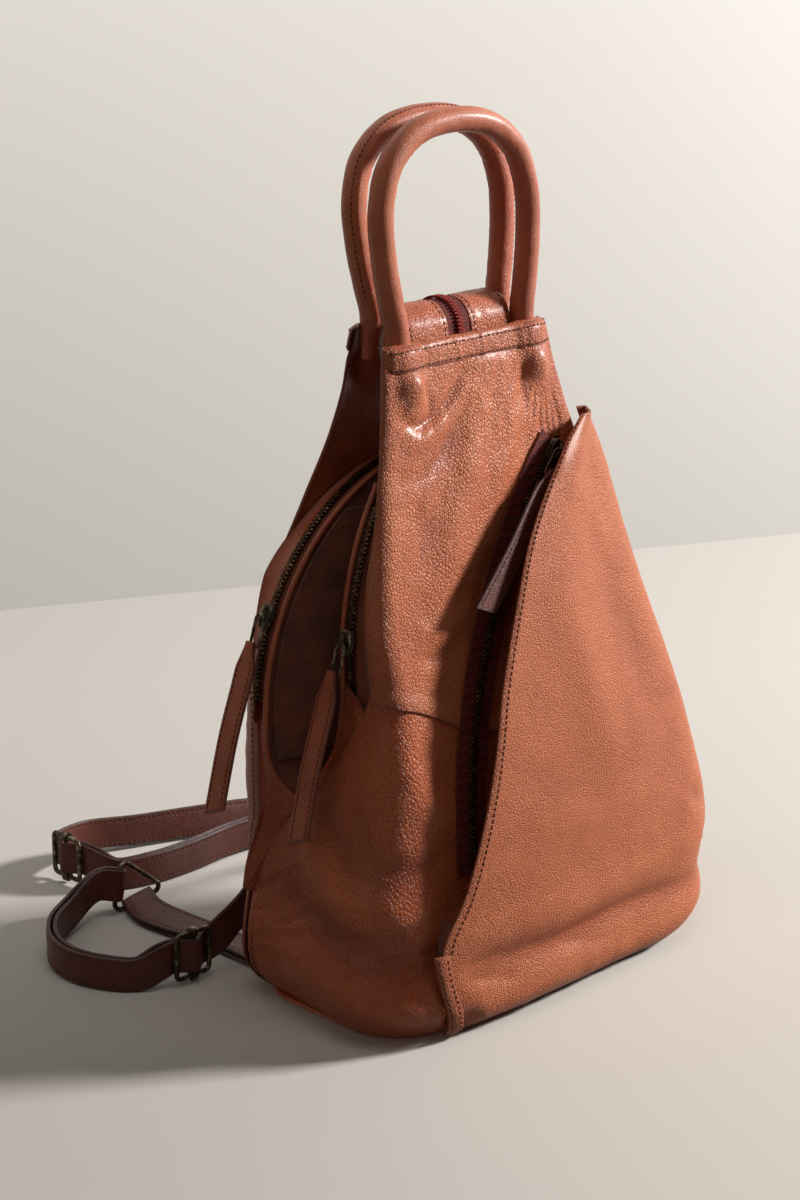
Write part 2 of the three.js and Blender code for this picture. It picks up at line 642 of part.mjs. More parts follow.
// ---------- shoulder straps ----------
// Each strap leaves its half of the top strap and comes down behind the bag. On the floor it stands
// on edge: it weaves through its buckle, runs out round a bend, turns round the ring and comes back
// to the buckle's bar. A folded tab holds the ring to the bag's bottom corner.
const ON_EDGE = STRAP_WIDTH / 2 + 0.4; // height of the middle of a strap that stands on its edge
const BUCKLE = { length: 27, height: 29, wire: 3, z: 17.2, corner: 4 };
const BAR = { radius: 1.5, collar: 3.2, bore: 2.25, collarWidth: 4 };
// From the middle of a wire to the middle of the strap that passes it.
const WEAVE = STRAP_THICKNESS / 2 + BUCKLE.wire / 2 + 0.35;
// Height of the strap in the buckle, in units of WEAVE.
const weaveHeight = (x) => 1.15 * Math.max(-1, Math.min(1, (Math.abs(x) - 5.2) / 5.2));
const RING = { side: 40, wire: 3, corner: 5, z: 15.4 };
// Radius of a strap's middle as it turns round a wire.
const TURN = RING.wire / 2 + STRAP_THICKNESS / 2 + 0.8;
const LAYERS = STRAP_THICKNESS + 1.4; // spacing of the two layers beyond the buckle

// `inside` is the side of the route, +1 left or -1 right, on which the returning layer lies.
const STRAPS = {
  left: {
    top: -TOP_STRAP_INNER - HALF_WIDTH / 2,
    down: [
      [-27, 61, 225], [-30, 70, 180], [-38, 79, 130], [-52, 84, 88],
      [-70, 85, 58], [-92, 84.5, 37], [-110, 84, 27],
    ],
    buckle: { at: [-137, 84], heading: Math.PI },
    loop: [[-168, 95], [-181, 111], [-187, 132], [-183, 154], [-168, 174], [-146, 187]],
    inside: -1,
    ring: { at: [-96, 186], heading: -20 * DEG },
    tabRoot: [-93, 74],
  },
  right: {
    top: TOP_STRAP_INNER + HALF_WIDTH / 2,
    down: [
      [27, 61, 225], [34, 76, 170], [47, 101, 108], [62, 134, 52], [74, 168, 18],
      [70, 206, 12], [46, 232, 11], [10, 248, 11], [-30, 262, 12], [-66, 272, 15],
    ],
    buckle: { at: [-97, 248], heading: -Math.PI / 2 },
    loop: [[-84, 217], [-62, 208], [-30, 206], [4, 208], [36, 204], [58, 194]],
    inside: 1,
    ring: { at: [98, 176], heading: -15 * DEG },
    tabRoot: [93, 74],
  },
};

// Axes of a thing that stands on the floor: x along its heading, y to the left of that, z up.
function standing({ at, heading }, z) {
  const [c, s] = [Math.cos(heading), Math.sin(heading)];
  return new THREE.Matrix4().makeBasis(V(c, s, 0), V(-s, c, 0), V(0, 0, 1)).setPosition(V(at[0], at[1], z));
}

// A side of the ring: its wire's middle, and the directions to the ring's middle, along the side and
// square to the ring.
function ringSide(frame, angle) {
  const reach = RING.side / (2 * Math.sqrt(3)) - RING.wire / 2;
  const outward = V(Math.cos(angle), 0, Math.sin(angle));
  const turn = new THREE.Matrix4().extractRotation(frame);
  return {
    middle: outward.clone().multiplyScalar(reach).applyMatrix4(frame),
    inward: outward.clone().negate().applyMatrix4(turn),
    along: V(-Math.sin(angle), 0, Math.cos(angle)).applyMatrix4(turn),
    face: V(0, 1, 0).applyMatrix4(turn),
  };
}
const STRAP_SIDE = 170 * DEG; // direction from the ring's middle to the side the strap turns round
const TAB_SIDE = 290 * DEG; // and to the side the tab turns round

// A half turn round a wire from direction `from` by way of direction `by`.
function turnRound(middle, from, by) {
  return steps(0, Math.PI, 4).map((a) =>
    middle.clone().addScaledVector(from, TURN * Math.cos(a)).addScaledVector(by, TURN * Math.sin(a)),
  );
}

// A strap through stations, each a point with the direction across the strap there.
function strapAlong(stations, spacing) {
  const curve = new THREE.CatmullRomCurve3(stations.map(([p]) => p), false, "centripetal");
  const rows = [];
  for (let i = 0; i < stations.length - 1; i++) {
    const [[p, across], [q, next]] = [stations[i], stations[i + 1]];
    const parts = Math.max(1, Math.ceil(p.distanceTo(q) / spacing));
    for (const f of steps(0, 1, parts).slice(0, i < stations.length - 2 ? -1 : undefined)) {
      const t = (i + f) / (stations.length - 1);
      const tangent = curve.getTangent(t);
      const w = across.clone().lerp(next, f);
      w.addScaledVector(tangent, -w.dot(tangent)).setLength(STRAP_WIDTH / 2);
      const at = curve.getPoint(t);
      rows.push([at.clone().sub(w), at.clone().add(w)]);
    }
  }
  return sheet(rows, STRAP_THICKNESS);
}

// Solids joined into one with manifold-3d.
const wasm = await Module();
wasm.setup();
function joined(geometries) {
  const solids = geometries.map((geometry) => {
    const bare = new THREE.BufferGeometry().setAttribute("position", geometry.getAttribute("position"));
    const merged = mergeVertices(bare.setIndex(geometry.index), 1e-4);
    return new wasm.Manifold(
      new wasm.Mesh({
        numProp: 3,
        vertProperties: merged.attributes.position.array,
        triVerts: new Uint32Array(merged.index.array),
      }),
    );
  });
  const mesh = solids.reduce((a, b) => a.add(b)).getMesh();
  const geometry = new THREE.BufferGeometry();
  geometry.setAttribute("position", new THREE.BufferAttribute(mesh.vertProperties, 3));
  return geometry.setIndex(new THREE.BufferAttribute(mesh.triVerts, 1));
}

// The buckle's bar, with a collar at each end that wraps the frame's rail.
function buckleBar() {
  const rail = (BUCKLE.height - BUCKLE.wire) / 2;
  const half = BAR.collarWidth / 2;
  const { bore, collar } = BAR;
  const section = [[bore, -half], [collar, -half], [collar, half], [bore, half], [bore, -half]];
  const collars = [-1, 1].map((end) =>
    new THREE.LatheGeometry(section.map(([r, h]) => new THREE.Vector2(r, h)), 10)
      .rotateZ(Math.PI / 2)
      .translate(0, 0, end * rail),
  );
  const length = 2 * (rail - (bore + collar) / 2);
  const bar = new THREE.CylinderGeometry(BAR.radius, BAR.radius, length, 8).rotateX(Math.PI / 2);
  return joined([bar, ...collars]);
}

for (const [name, side] of SIDES) {
  const { buckle, ring, inside, loop, down, top, tabRoot } = STRAPS[name];
  const buckleAxes = standing(buckle, BUCKLE.z);
  const ringAxes = standing(ring, RING.z);

  const outline = roundedRectangle(BUCKLE.length, BUCKLE.height, BUCKLE.corner);
  const window = roundedRectangle(BUCKLE.length - 2 * BUCKLE.wire, BUCKLE.height - 2 * BUCKLE.wire, 1.6);
  const frame = plateRing(outline, window, BUCKLE.wire).rotateX(Math.PI / 2);
  add(`buckle_frame_${name}`, frame.applyMatrix4(buckleAxes), BRASS);
  add(`buckle_bar_${name}`, buckleBar().applyMatrix4(buckleAxes), BRASS);

  const triangle = roundedTriangle(RING.side, RING.corner);
  const opening = roundedTriangle(RING.side - 2 * Math.sqrt(3) * RING.wire, RING.corner - RING.wire + 0.2);
  const ringBody = plateRing(triangle, opening, RING.wire).rotateZ(STRAP_SIDE - (5 / 6) * Math.PI);
  add(`ring_${name}`, ringBody.rotateX(Math.PI / 2).applyMatrix4(ringAxes), BRASS);

  const hold = ringSide(ringAxes, STRAP_SIDE);
  const across = hold.along.clone().multiplyScalar(Math.sign(hold.along.z));
  hold.middle.addScaledVector(across, 1.2);
  const [X, UP] = [V(side, 0, 0), V(0, 0, 1)];
  const lying = (points) => points.map((p) => [p, UP]);
  const inBuckle = (points) => lying(points.map(([x, y, z]) => V(x, inside * y, z).applyMatrix4(buckleAxes)));
  const offsetLoop = (gap) => {
    const points = loop.map(([x, y]) => new THREE.Vector2(x, y));
    const last = points.length - 1;
    return lying(points.map((p, i) => {
      const d = points[Math.min(i + 1, last)].clone().sub(points[Math.max(i - 1, 0)]).normalize();
      const z = ON_EDGE + 3 * (i / last) ** 2;
      return V(p.x - inside * gap * d.y, p.y + inside * gap * d.x, z);
    }));
  };
  const towards = hold.face.clone().multiplyScalar(inside);
  const beside = (k) => [
    hold.middle.clone().addScaledVector(hold.inward, -12).addScaledVector(towards, k * (LAYERS / 2)),
    across,
  ];
  const outwards = [
    [V(top, BACK_Y(252) + 4.4, 252), X],
    ...down.map((p, i) => [V(...p), X.clone().lerp(UP, Math.min(1, ((i + 0.5) / down.length) ** 2))]),
    ...inBuckle([-15, -10.5, -5.2, 0, 5.2, 10.5, 15].map((x) => [x, WEAVE * weaveHeight(x), 0])),
    ...offsetLoop(0),
    beside(-1),
  ];
  const back = [
    beside(1),
    ...offsetLoop(LAYERS).reverse(),
    ...inBuckle([[16, WEAVE + LAYERS + 0.6, 0], [3, WEAVE + 2, 0]]),
  ];
  const turn = turnRound(hold.middle, towards.clone().negate(), hold.inward).map((p) => [p, across]);
  add(`strap_${name}`, strapAlong([...outwards, ...turn, ...back], 11), STRAP);

  const { middle, inward, along, face } = ringSide(ringAxes, TAB_SIDE);
  const tabAcross = along.clone().multiplyScalar(Math.sign(along.x));
  const level = V(1, 0, 0);
  const layer = (z, lift) => [
    [V(tabRoot[0], tabRoot[1], z), level],
    [V(tabRoot[0], tabRoot[1] + 30, z + lift), level],
    [middle.clone().addScaledVector(face, -22).addScaledVector(inward, (z > 4 ? 1 : -1) * 2.2), tabAcross],
  ];
  const fold = turnRound(middle, inward.clone().negate(), face).map((p) => [p, tabAcross]);
  add(`ring_tab_${name}`, strapAlong([...layer(2, 0.1), ...fold, ...layer(5.4, 0.5).reverse()], 14), STRAP);
}

export default bag;
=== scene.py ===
# Looks of a tan leather backpack with two rolled handles, built round its CAD frame.
# Shapes are worked out in millimetres in the frame's axes, and turned to metres as each mesh is made.
import math

import bmesh
import bpy
import numpy as np
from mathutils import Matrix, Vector, noise


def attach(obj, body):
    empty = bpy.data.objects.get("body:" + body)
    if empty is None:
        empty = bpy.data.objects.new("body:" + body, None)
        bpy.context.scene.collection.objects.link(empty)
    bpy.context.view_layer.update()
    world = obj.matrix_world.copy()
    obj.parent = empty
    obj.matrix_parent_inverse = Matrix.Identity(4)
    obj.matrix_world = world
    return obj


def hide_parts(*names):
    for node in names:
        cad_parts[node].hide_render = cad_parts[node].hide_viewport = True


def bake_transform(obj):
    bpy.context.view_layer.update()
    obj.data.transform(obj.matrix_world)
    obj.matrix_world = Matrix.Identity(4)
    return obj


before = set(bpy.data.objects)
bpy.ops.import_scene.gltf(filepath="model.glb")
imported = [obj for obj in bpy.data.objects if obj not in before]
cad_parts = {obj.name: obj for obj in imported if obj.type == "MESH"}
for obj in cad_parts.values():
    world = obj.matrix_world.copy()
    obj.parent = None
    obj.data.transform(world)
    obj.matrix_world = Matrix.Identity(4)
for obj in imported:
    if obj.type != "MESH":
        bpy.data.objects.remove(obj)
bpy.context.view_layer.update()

# ---------- driving dimensions, in millimetres ----------
MM = 0.001
LEATHER = 1.8
GAP = 0.5
HEM_TOP_FRONT = 364
HEM_TOP_BACK = 372
SIDE_SEAM_Y = 49
HANDLE_RADIUS = 7
HANDLE_RISE = {"front": 108, "back": 100}
HANDLE_FOOT_X = 49
PIPING_RADIUS = 2
TAPE = 0.9
STRAP_WIDTH = 20
STRAP_THICKNESS = 2.4
BASE_ROLL = 9  # radius of the soft edge round the base
UPPER_LAP = 5  # how far the upper front panel laps over the lower one
ZIP_BACK = dict(x=0, y=27, z=170, r=131, width=11, start=4, end=88.5, rest=24, swing=6)
ZIP_FRONT = dict(x=-74.9, y=1, z=203, r=172, width=-9, start=-5, end=28, rest=3.4, swing=-13)
POCKET_CENTRE = np.array([281.2, -64.25, 49.84])
POCKET_RADIUS = 340.94
POCKET_ARC = (2.2923, 3.0147)  # radians, from the zip's top end to its bottom end
LEAN = math.atan(0.217)  # the front face leans back
UP = np.array([0.0, 0.0, 1.0])
FRONTWARD = (0, -1, 0)
BACKWARD = (0, 1, 0)


# ---------- curves and surfaces ----------
def profile(pairs):
    """A smooth function through (position, value) pairs."""
    at, value = np.array(pairs, float).T
    slope = np.empty(len(at))
    for i in range(len(at)):
        a, b = max(0, i - 1), min(len(at) - 1, i + 1)
        slope[i] = (value[b] - value[a]) / (at[b] - at[a])

    def f(x):
        k = np.clip(np.searchsorted(at, x, side="right") - 1, 0, len(at) - 2)
        h = at[k + 1] - at[k]
        t = np.clip((x - at[k]) / h, 0, 1)
        t2, t3 = t * t, t * t * t
        return (
            (2 * t3 - 3 * t2 + 1) * value[k]
            + (t3 - 2 * t2 + t) * h * slope[k]
            + (3 * t2 - 2 * t3) * value[k + 1]
            + (t3 - t2) * h * slope[k + 1]
        )

    return f


FRONT_Y = profile([[0, -64], [20, -69], [75, -59], [125, -48], [300, -10], [364, 3.5]])
BACK_Y = profile([[0, 62], [30, 69], [80, 67], [150, 62], [300, 44], [372, 33]])
FRONT_HALF = profile([
    [0, 122], [25, 131], [75, 127], [125, 112], [173, 99], [195, 99],
    [227, 97], [267, 88], [290, 83], [307, 78], [337, 70], [364, 64],
])
BACK_HALF = profile([[0, 124], [22, 133], [70, 127], [166, 127], [229, 116], [280, 94], [316, 77], [372, 62]])
FRONT_CORNER = profile([[0, 40], [90, 34], [170, 16], [227, 12], [307, 8], [364, 3]])
BACK_CORNER = profile([[0, 38], [110, 30], [230, 16], [372, 10]])
FRONT_SWEEP = profile([[0, 80], [240, 78], [290, 50], [364, 60]])
YOKE_SEAM = profile([[-1, 190], [-0.72, 180], [-0.35, 162], [0.1, 156], [1, 170]])
WRAP_TOP = profile([[0, 190], [0.2, 158], [0.4, 130], [0.62, 112], [0.8, 92], [1, 62]])
BACK_EDGE_Y = profile([
    [0, 51.5], [62, 51.5], [80, 49], [98, 42], [112, 37], [130, 36],
    [165, 37], [185, 43], [215, 46], [250, 47], [300, 42], [372, 31],
])
POCKET_LEFT = profile([
    [4, -84], [52, -94], [77, -80], [115, -62], [154, -47],
    [184, -37], [223, -18], [260, 6], [297, 46], [312, 71],
])
POCKET_RIGHT = profile([
    [4, 122], [23, 137], [45, 141], [75, 150], [124, 141], [184, 121], [239, 105], [284, 95], [312, 86],
])
POCKET_LIFT = profile([[4, 3], [30, 4], [52, 7], [90, 16], [150, 23], [230, 24], [290, 17], [312, 10]])
POCKET_ROLL = profile([[0, 1], [200, 1], [235, 0.45], [364, 0.4]])
POCKET_SWELL = profile([[4, 5], [30, 8], [75, 17], [150, 20], [230, 16], [290, 9], [312, 7]])


def mesh_grid(a, b):
    return np.meshgrid(a, b, indexing="ij")


def grid(rows, columns):
    """A grid from two spans, each given as its start, its end and its count."""
    return mesh_grid(np.linspace(*rows), np.linspace(*columns))


def xyz(x, y, z):
    return np.stack([x, y, z], -1)


def unit(v):
    return v / np.maximum(np.linalg.norm(v, axis=-1, keepdims=True), 1e-9)


def spline(points, per=12):
    """A smooth line through points, `per` steps between each pair (centripetal Catmull-Rom)."""
    p = np.array(points, float)
    p = np.vstack([2 * p[0] - p[1], p, 2 * p[-1] - p[-2]])
    rows = []
    for i in range(1, len(p) - 2):
        gaps = [max(np.linalg.norm(p[k + 1] - p[k]), 1e-6) ** 0.5 for k in (i - 1, i, i + 1)]
        d0, d1, d2 = gaps
        a = ((p[i] - p[i - 1]) / d0 - (p[i + 1] - p[i - 1]) / (d0 + d1) + (p[i + 1] - p[i]) / d1) * d1
        b = ((p[i + 1] - p[i]) / d1 - (p[i + 2] - p[i]) / (d1 + d2) + (p[i + 2] - p[i + 1]) / d2) * d1
        t = np.linspace(0, 1, per, endpoint=False)[:, None]
        t2, t3 = t * t, t * t * t
        ends = (2 * t3 - 3 * t2 + 1) * p[i] + (t3 - 2 * t2 + t) * a + (3 * t2 - 2 * t3) * p[i + 1]
        rows.append(ends + (t3 - t2) * b)
    return np.vstack([*rows, p[-2:-1]])


def lengths(line):
    return np.concatenate([[0], np.cumsum(np.linalg.norm(np.diff(line, axis=0), axis=1))])


def sample(line, at, values=None):
    """A line's own points, or values kept with them, at lengths from its start."""
    s = lengths(line)
    values = line if values is None else values
    return np.stack([np.interp(at, s, column) for column in values.T], -1)


def resample(line, count):
    """`count` points spaced evenly along a line of points."""
    return sample(line, np.linspace(0, lengths(line)[-1], count))


def along(line, closed=False):
    """Unit directions along a line of points."""
    if closed:
        return unit(np.roll(line, -1, 0) - np.roll(line, 1, 0))
    return unit(np.gradient(line, axis=0))


def transported(line, first):
    """Directions square to a line that turn with it as little as possible."""
    t = along(line)
    out = [unit(first - t[0] * (first @ t[0]))]
    for k in range(1, len(line)):
        v = out[-1] - t[k] * (out[-1] @ t[k])
        out.append(unit(v))
    return np.array(out)


def front_level(z, s, inset=0.0):
    """A level of the front panel, from its left edge (s = -1) to its right edge (s = 1)."""
    half, y, r = FRONT_HALF(z) - inset, FRONT_Y(z) + inset, FRONT_CORNER(z)
    total = 2 * r * np.radians(FRONT_SWEEP(z)) + 2 * (half - r)
    d = np.abs(s) * total / 2 - (half - r)
    a = np.maximum(d, 0) / r
    x = np.where(d <= 0, d + half - r, half - r + r * np.sin(a))
    return xyz(np.sign(s) * x, y + r - r * np.cos(a), z + 0 * a)


def back_level(z, s):
    half, y, r = BACK_HALF(z) - LEATHER / 2, BACK_Y(z) - LEATHER / 2, BACK_CORNER(z)
    room = y - BACK_EDGE_Y(z) - GAP
    leg = np.maximum(0, room - r)
    sweep = np.where(leg > 0, math.pi / 2, np.arccos(np.clip(1 - room / r, -1, 1)))
    arc, flat = r * sweep, half - r
    d = np.abs(s) * (flat + arc + leg) - flat
    bent = np.clip(d, 0, arc) / r
    x = np.where(d <= 0, d + flat, flat + r * np.sin(bent))
    depth = np.where(d <= 0, y, y - r + r * np.cos(bent) - np.maximum(0, d - arc))
    return xyz(np.sign(s) * x, depth, z + 0 * d)


def wrap_point(z, s, k):
    """The lower wrap: s goes across the front, then k back along the side to its seam."""
    front = front_level(z, s, LEATHER / 2)
    rear = back_level(np.minimum(z, 80), np.sign(s))[..., 0]
    y = front[..., 1] + (SIDE_SEAM_Y - front[..., 1]) * k
    return np.stack([front[..., 0] + (rear - front[..., 0]) * k, y, z + 0 * y], -1)


def on_zip(zipper, side, degrees, y=None, off=0.0):
    a, r = np.radians(degrees), zipper["r"] + off
    y = zipper["y"] if y is None else y
    x = side * (zipper["x"] + r * np.cos(a))
    return np.stack([x, y + 0 * a, zipper["z"] + r * np.sin(a)], -1)


def zip_half(zipper, z):
    return zipper["x"] + np.sqrt(np.maximum(0, zipper["r"] ** 2 - (z - zipper["z"]) ** 2))


def on_pocket_arc(angle, radius, out):
    """A point of the pocket zip's arc, stood off the leaning front face."""
    angle = np.asarray(angle, float)
    flat = xyz(np.cos(angle), np.sin(angle) * math.sin(LEAN), np.sin(angle) * math.cos(LEAN))
    face = np.array([0, -math.cos(LEAN), math.sin(LEAN)])
    return POCKET_CENTRE + radius * flat + out * face


# ---------- relief ----------
def lumps(p, size, seed):
    """Smooth noise from -1 to 1, with lumps of about `size` millimetres, which may differ by axis."""
    q = np.asarray(p, float) / np.asarray(size, float)
    flat = q.reshape(-1, q.shape[-1])
    offset = Vector((seed * 3.7, seed * 1.9, seed * 5.3))
    got = [noise.noise(Vector(row) + offset) for row in flat]
    return np.array(got).reshape(q.shape[:-1])


def turned(p, degrees):
    """Plane coordinates turned so that the second runs along a direction, from the upright."""
    a = math.radians(degrees)
    x, z = p[..., 0], p[..., 1]
    return xyz(x * math.cos(a) - z * math.sin(a), x * math.sin(a) + z * math.cos(a), 0 * x)


def wrinkles(p, degrees, across, length, seed):
    """Sharp-edged wrinkles along a direction, from 0 to 1."""
    q = turned(p, degrees)
    bend = 2.5 * lumps(q, (30, 30, 30), seed + 11)
    q[..., 0] += bend
    return (1 - 2.2 * np.abs(lumps(q, (across, length, 1), seed))).clip(0, 1)


def near(p, line):
    """Distance from each point of a plane to a line, and the line's strength there, weak at its ends."""
    line = spline(np.array(line, float), 6)
    best = np.full(p.shape[:-1], 1e9)
    where = np.zeros(p.shape[:-1])
    s = lengths(line)
    for k in range(len(line) - 1):
        a, d = line[k], line[k + 1] - line[k]
        t = np.clip(((p - a) @ d) / max(d @ d, 1e-9), 0, 1)
        gap = np.linalg.norm(p - a - t[..., None] * d, axis=-1)
        closer = gap < best
        best = np.where(closer, gap, best)
        where = np.where(closer, (s[k] + t * (s[k + 1] - s[k])) / s[-1], where)
    return best, np.sin(math.pi * np.clip(where, 0.03, 0.97)) ** 0.6


def fold(p, line, width, height):
    """A soft ridge (height > 0) or groove (height < 0) along a line."""
    d, strength = near(p, line)
    return height * strength * np.exp(-((d / width) ** 2))


def add_folds(relief, p, table):
    """Adds each fold of a table of lines, widths and heights."""
    for line, width, height in table:
        relief += fold(p, line, width, height)


def crease(p, line, width, depth):
    """A narrow groove between raised lips."""
    d, strength = near(p, line)
    q = (d / width) ** 2
    return -depth * strength * (1 - 1.1 * q) * np.exp(-q)


def ease(x, low, high):
    t = np.clip((x - low) / (high - low), 0, 1)
    return t * t * (3 - 2 * t)


# ---------- materials ----------
def srgb(r, g, b):
    def one(c):
        c /= 255
        return c / 12.92 if c <= 0.04045 else ((c + 0.055) / 1.055) ** 2.4

    return (one(r), one(g), one(b), 1.0)


class Nodes:
    """A material's node tree, with short calls for the nodes used here."""

    def __init__(self, name):
        self.material = bpy.data.materials.new(name)
        self.material.use_nodes = True
        self.tree = self.material.node_tree
        self.shader = self.tree.nodes["Principled BSDF"]
        self.place = self.tree.nodes.new("ShaderNodeTexCoord").outputs["Object"]

    def node(self, kind, settings=(), **values):
        n = self.tree.nodes.new("ShaderNode" + kind)
        for key, value in dict(settings).items():
            setattr(n, key, value)
        for key, value in values.items():
            self.put(n.inputs[key.replace("_", " ")], value)
        return n

    def put(self, socket, value):
        if isinstance(value, bpy.types.NodeSocket):
            self.tree.links.new(value, socket)
        else:
            socket.default_value = value

    def set(self, **values):
        for key, value in values.items():
            self.put(self.shader.inputs[key.replace("_", " ")], value)

    def math(self, what, a, b=0.0):
        n = self.tree.nodes.new("ShaderNodeMath")
        n.operation = what
        self.put(n.inputs[0], a)
        self.put(n.inputs[1], b)
        return n.outputs[0]

    def noise(self, scale, detail=2.0, rough=0.5, place=None):
        n = self.node("TexNoise", Scale=scale, Detail=detail, Roughness=rough, Vector=place or self.place)
        return n.outputs["Fac"]

    def cells(self, scale, feature="DISTANCE_TO_EDGE", place=None):
        n = self.node("TexVoronoi", {"feature": feature}, Scale=scale, Vector=place or self.place)
        return n.outputs["Distance"]

    def ramp(self, fac, low, high, a=0.0, b=1.0):
        smooth = {"interpolation_type": "SMOOTHSTEP"}
        n = self.node("MapRange", smooth, Value=fac, From_Min=low, From_Max=high)
        n.inputs["To Min"].default_value = a
        n.inputs["To Max"].default_value = b
        return n.outputs["Result"]

    def mix(self, fac, a, b):
        n = self.tree.nodes.new("ShaderNodeMix")
        n.data_type = "RGBA"
        self.put(n.inputs[0], fac)
        self.put(n.inputs[6], a)
        self.put(n.inputs[7], b)
        return n.outputs[2]

    def attribute(self, name):
        return self.node("Attribute", {"attribute_name": name}).outputs["Fac"]

    def shifted(self, amount, scale):
        """Coordinates pushed about by noise, in metres."""
        n = self.node("TexNoise", Scale=scale, Detail=1.0, Vector=self.place)
        centred = self.node("VectorMath", {"operation": "SUBTRACT"})
        self.put(centred.inputs[0], n.outputs["Color"])
        centred.inputs[1].default_value = (0.5, 0.5, 0.5)
        scaled = self.node("VectorMath", {"operation": "SCALE"})
        self.put(scaled.inputs[0], centred.outputs[0])
        scaled.inputs["Scale"].default_value = amount
        added = self.node("VectorMath", {"operation": "ADD"})
        self.put(added.inputs[0], self.place)
        self.put(added.inputs[1], scaled.outputs[0])
        return added.outputs[0]

    def bump(self, height, strength, distance, over=None):
        n = self.node("Bump", Strength=strength, Distance=distance, Height=height)
        if over is not None:
            self.put(n.inputs["Normal"], over)
        return n.outputs["Normal"]


def darker(colour, share):
    return tuple(c * share for c in colour[:3]) + (1.0,)


def leather(name, light, mid, dark, pebble, depth, rough, coat):
    """Pebbled leather, mottled at two scales, darker in the grain and along cut edges, with painted highlight
    on raised folds and painted shade in sunken folds and creases.
    """
    n = Nodes(name)
    moved = n.shifted(0.0012, 420)
    grain = n.cells(pebble, place=moved)
    groove = n.ramp(grain, 0.0, 0.17)
    dome = n.cells(pebble, "F1", place=moved)
    fine = n.noise(pebble * 3.2, 3.0, 0.6)
    patchy = n.noise(34, 3.0, 0.55)
    cloudy = n.noise(11, 2.0, 0.5)
    colour = n.mix(n.ramp(cloudy, 0.32, 0.68), mid, light)
    colour = n.mix(n.math("MULTIPLY", n.ramp(patchy, 0.45, 0.75), 0.3), colour, dark)
    colour = n.mix(n.math("MULTIPLY", n.math("SUBTRACT", 1.0, groove), 0.42), colour, dark)
    # Painted highlight and painted shade: lighter where the 'relief' height rises, darker where it sinks into
    # folds and creases.
    fold_light_and_shade = n.attribute("relief")
    colour = n.mix(n.ramp(fold_light_and_shade, 0.15, 1.2, 0.0, 0.3), colour, light)
    colour = n.mix(n.ramp(fold_light_and_shade, -0.1, -1.6, 0.0, 0.35), colour, dark)
    rim = n.math("MULTIPLY", n.attribute("rim"), 0.75)
    colour = n.mix(rim, colour, darker(dark, 0.45))
    gloss = n.math("ADD", n.math("MULTIPLY", patchy, 0.22), rough - 0.11)
    gloss = n.math("ADD", gloss, n.math("MULTIPLY", n.math("SUBTRACT", 1.0, groove), 0.14))
    height = n.math("ADD", n.math("MULTIPLY", groove, 0.6), n.math("MULTIPLY", dome, -0.5))
    height = n.math("ADD", height, n.math("MULTIPLY", fine, 0.22))
    soft = n.noise(150, 2.0, 0.5)
    first = n.bump(soft, 0.25, 0.0012)
    n.set(Base_Color=colour, Roughness=gloss, Normal=n.bump(height, depth, 0.0007, first))
    n.set(Coat_Weight=coat, Coat_Roughness=0.28, Specular_IOR_Level=0.5)
    return n.material


# Each leather has its light, middle and dark colour, the pebbles' scale and depth, roughness and coat.
LEATHERS = {
    "panel": ((212, 116, 68), (192, 94, 50), (130, 50, 22), 600, 0.75, 0.46, 0.22),
    "lower": ((210, 108, 58), (188, 86, 42), (116, 42, 18), 480, 0.75, 0.46, 0.2),
    "pocket": ((208, 112, 62), (198, 102, 54), (156, 70, 34), 800, 0.8, 0.52, 0.12),
    "back": ((200, 106, 64), (180, 86, 50), (112, 46, 22), 800, 0.35, 0.46, 0.15),
    "handle": ((206, 112, 68), (188, 90, 50), (118, 46, 22), 900, 0.35, 0.42, 0.18),
    "strap": ((104, 40, 20), (80, 28, 13), (42, 14, 7), 900, 0.3, 0.46, 0.08),
    # The pocket pull's leather is darkened below the tab leather as painted shade, for the shadow it hangs
    # in.
    "shaded_red_pull": ((112, 42, 22), (92, 30, 16), (54, 16, 9), 900, 0.35, 0.5, 0.05),
    "tab": ((198, 104, 66), (172, 80, 48), (102, 40, 20), 900, 0.35, 0.45, 0.12),
}
PANEL, LOWER, POCKET, BACK, HANDLE, STRAP, SHADED_RED_PULL, TAB = (
    leather(f"leather_{name}", *(srgb(*c) for c in row[:3]), *row[3:]) for name, row in LEATHERS.items()
)


def suede(name, light, dark):
    n = Nodes(name)
    nap = n.noise(900, 4.0, 0.65)
    patch = n.noise(45, 3.0, 0.6)
    colour = n.mix(n.ramp(patch, 0.35, 0.7), dark, light)
    colour = n.mix(n.math("MULTIPLY", nap, 0.35), colour, dark)
    colour = n.mix(n.math("MULTIPLY", n.attribute("rim"), 0.6), colour, darker(dark, 0.4))
    n.set(Base_Color=colour, Roughness=n.ramp(nap, 0.2, 0.8, 0.7, 0.9), Normal=n.bump(nap, 0.4, 0.0005))
    n.set(Sheen_Weight=0.3, Sheen_Roughness=0.5)
    return n.material


LINING = suede("suede_lining", srgb(150, 74, 40), srgb(104, 46, 23))


def cloth(name, light, dark, pitch=1500):
    """Woven tape: two crossed sets of threads."""
    n = Nodes(name)
    waves = []
    for direction in ("Y", "Z"):
        wave = {"bands_direction": direction}
        waves.append(n.node("TexWave", wave, Scale=pitch / 6, Distortion=0.4, Vector=n.place).outputs["Fac"])
    weave = n.math("MULTIPLY", *waves)
    fuzz = n.noise(2200, 3.0, 0.6)
    colour = n.mix(n.ramp(weave, 0.1, 0.7), dark, light)
    colour = n.mix(n.math("MULTIPLY", fuzz, 0.3), colour, dark)
    n.set(Base_Color=colour, Roughness=n.ramp(fuzz, 0.2, 0.8, 0.75, 0.95), Normal=n.bump(weave, 0.5, 0.0004))
    return n.material


SIDE_TAPE = cloth("tape_side", srgb(150, 74, 40), srgb(96, 42, 22))
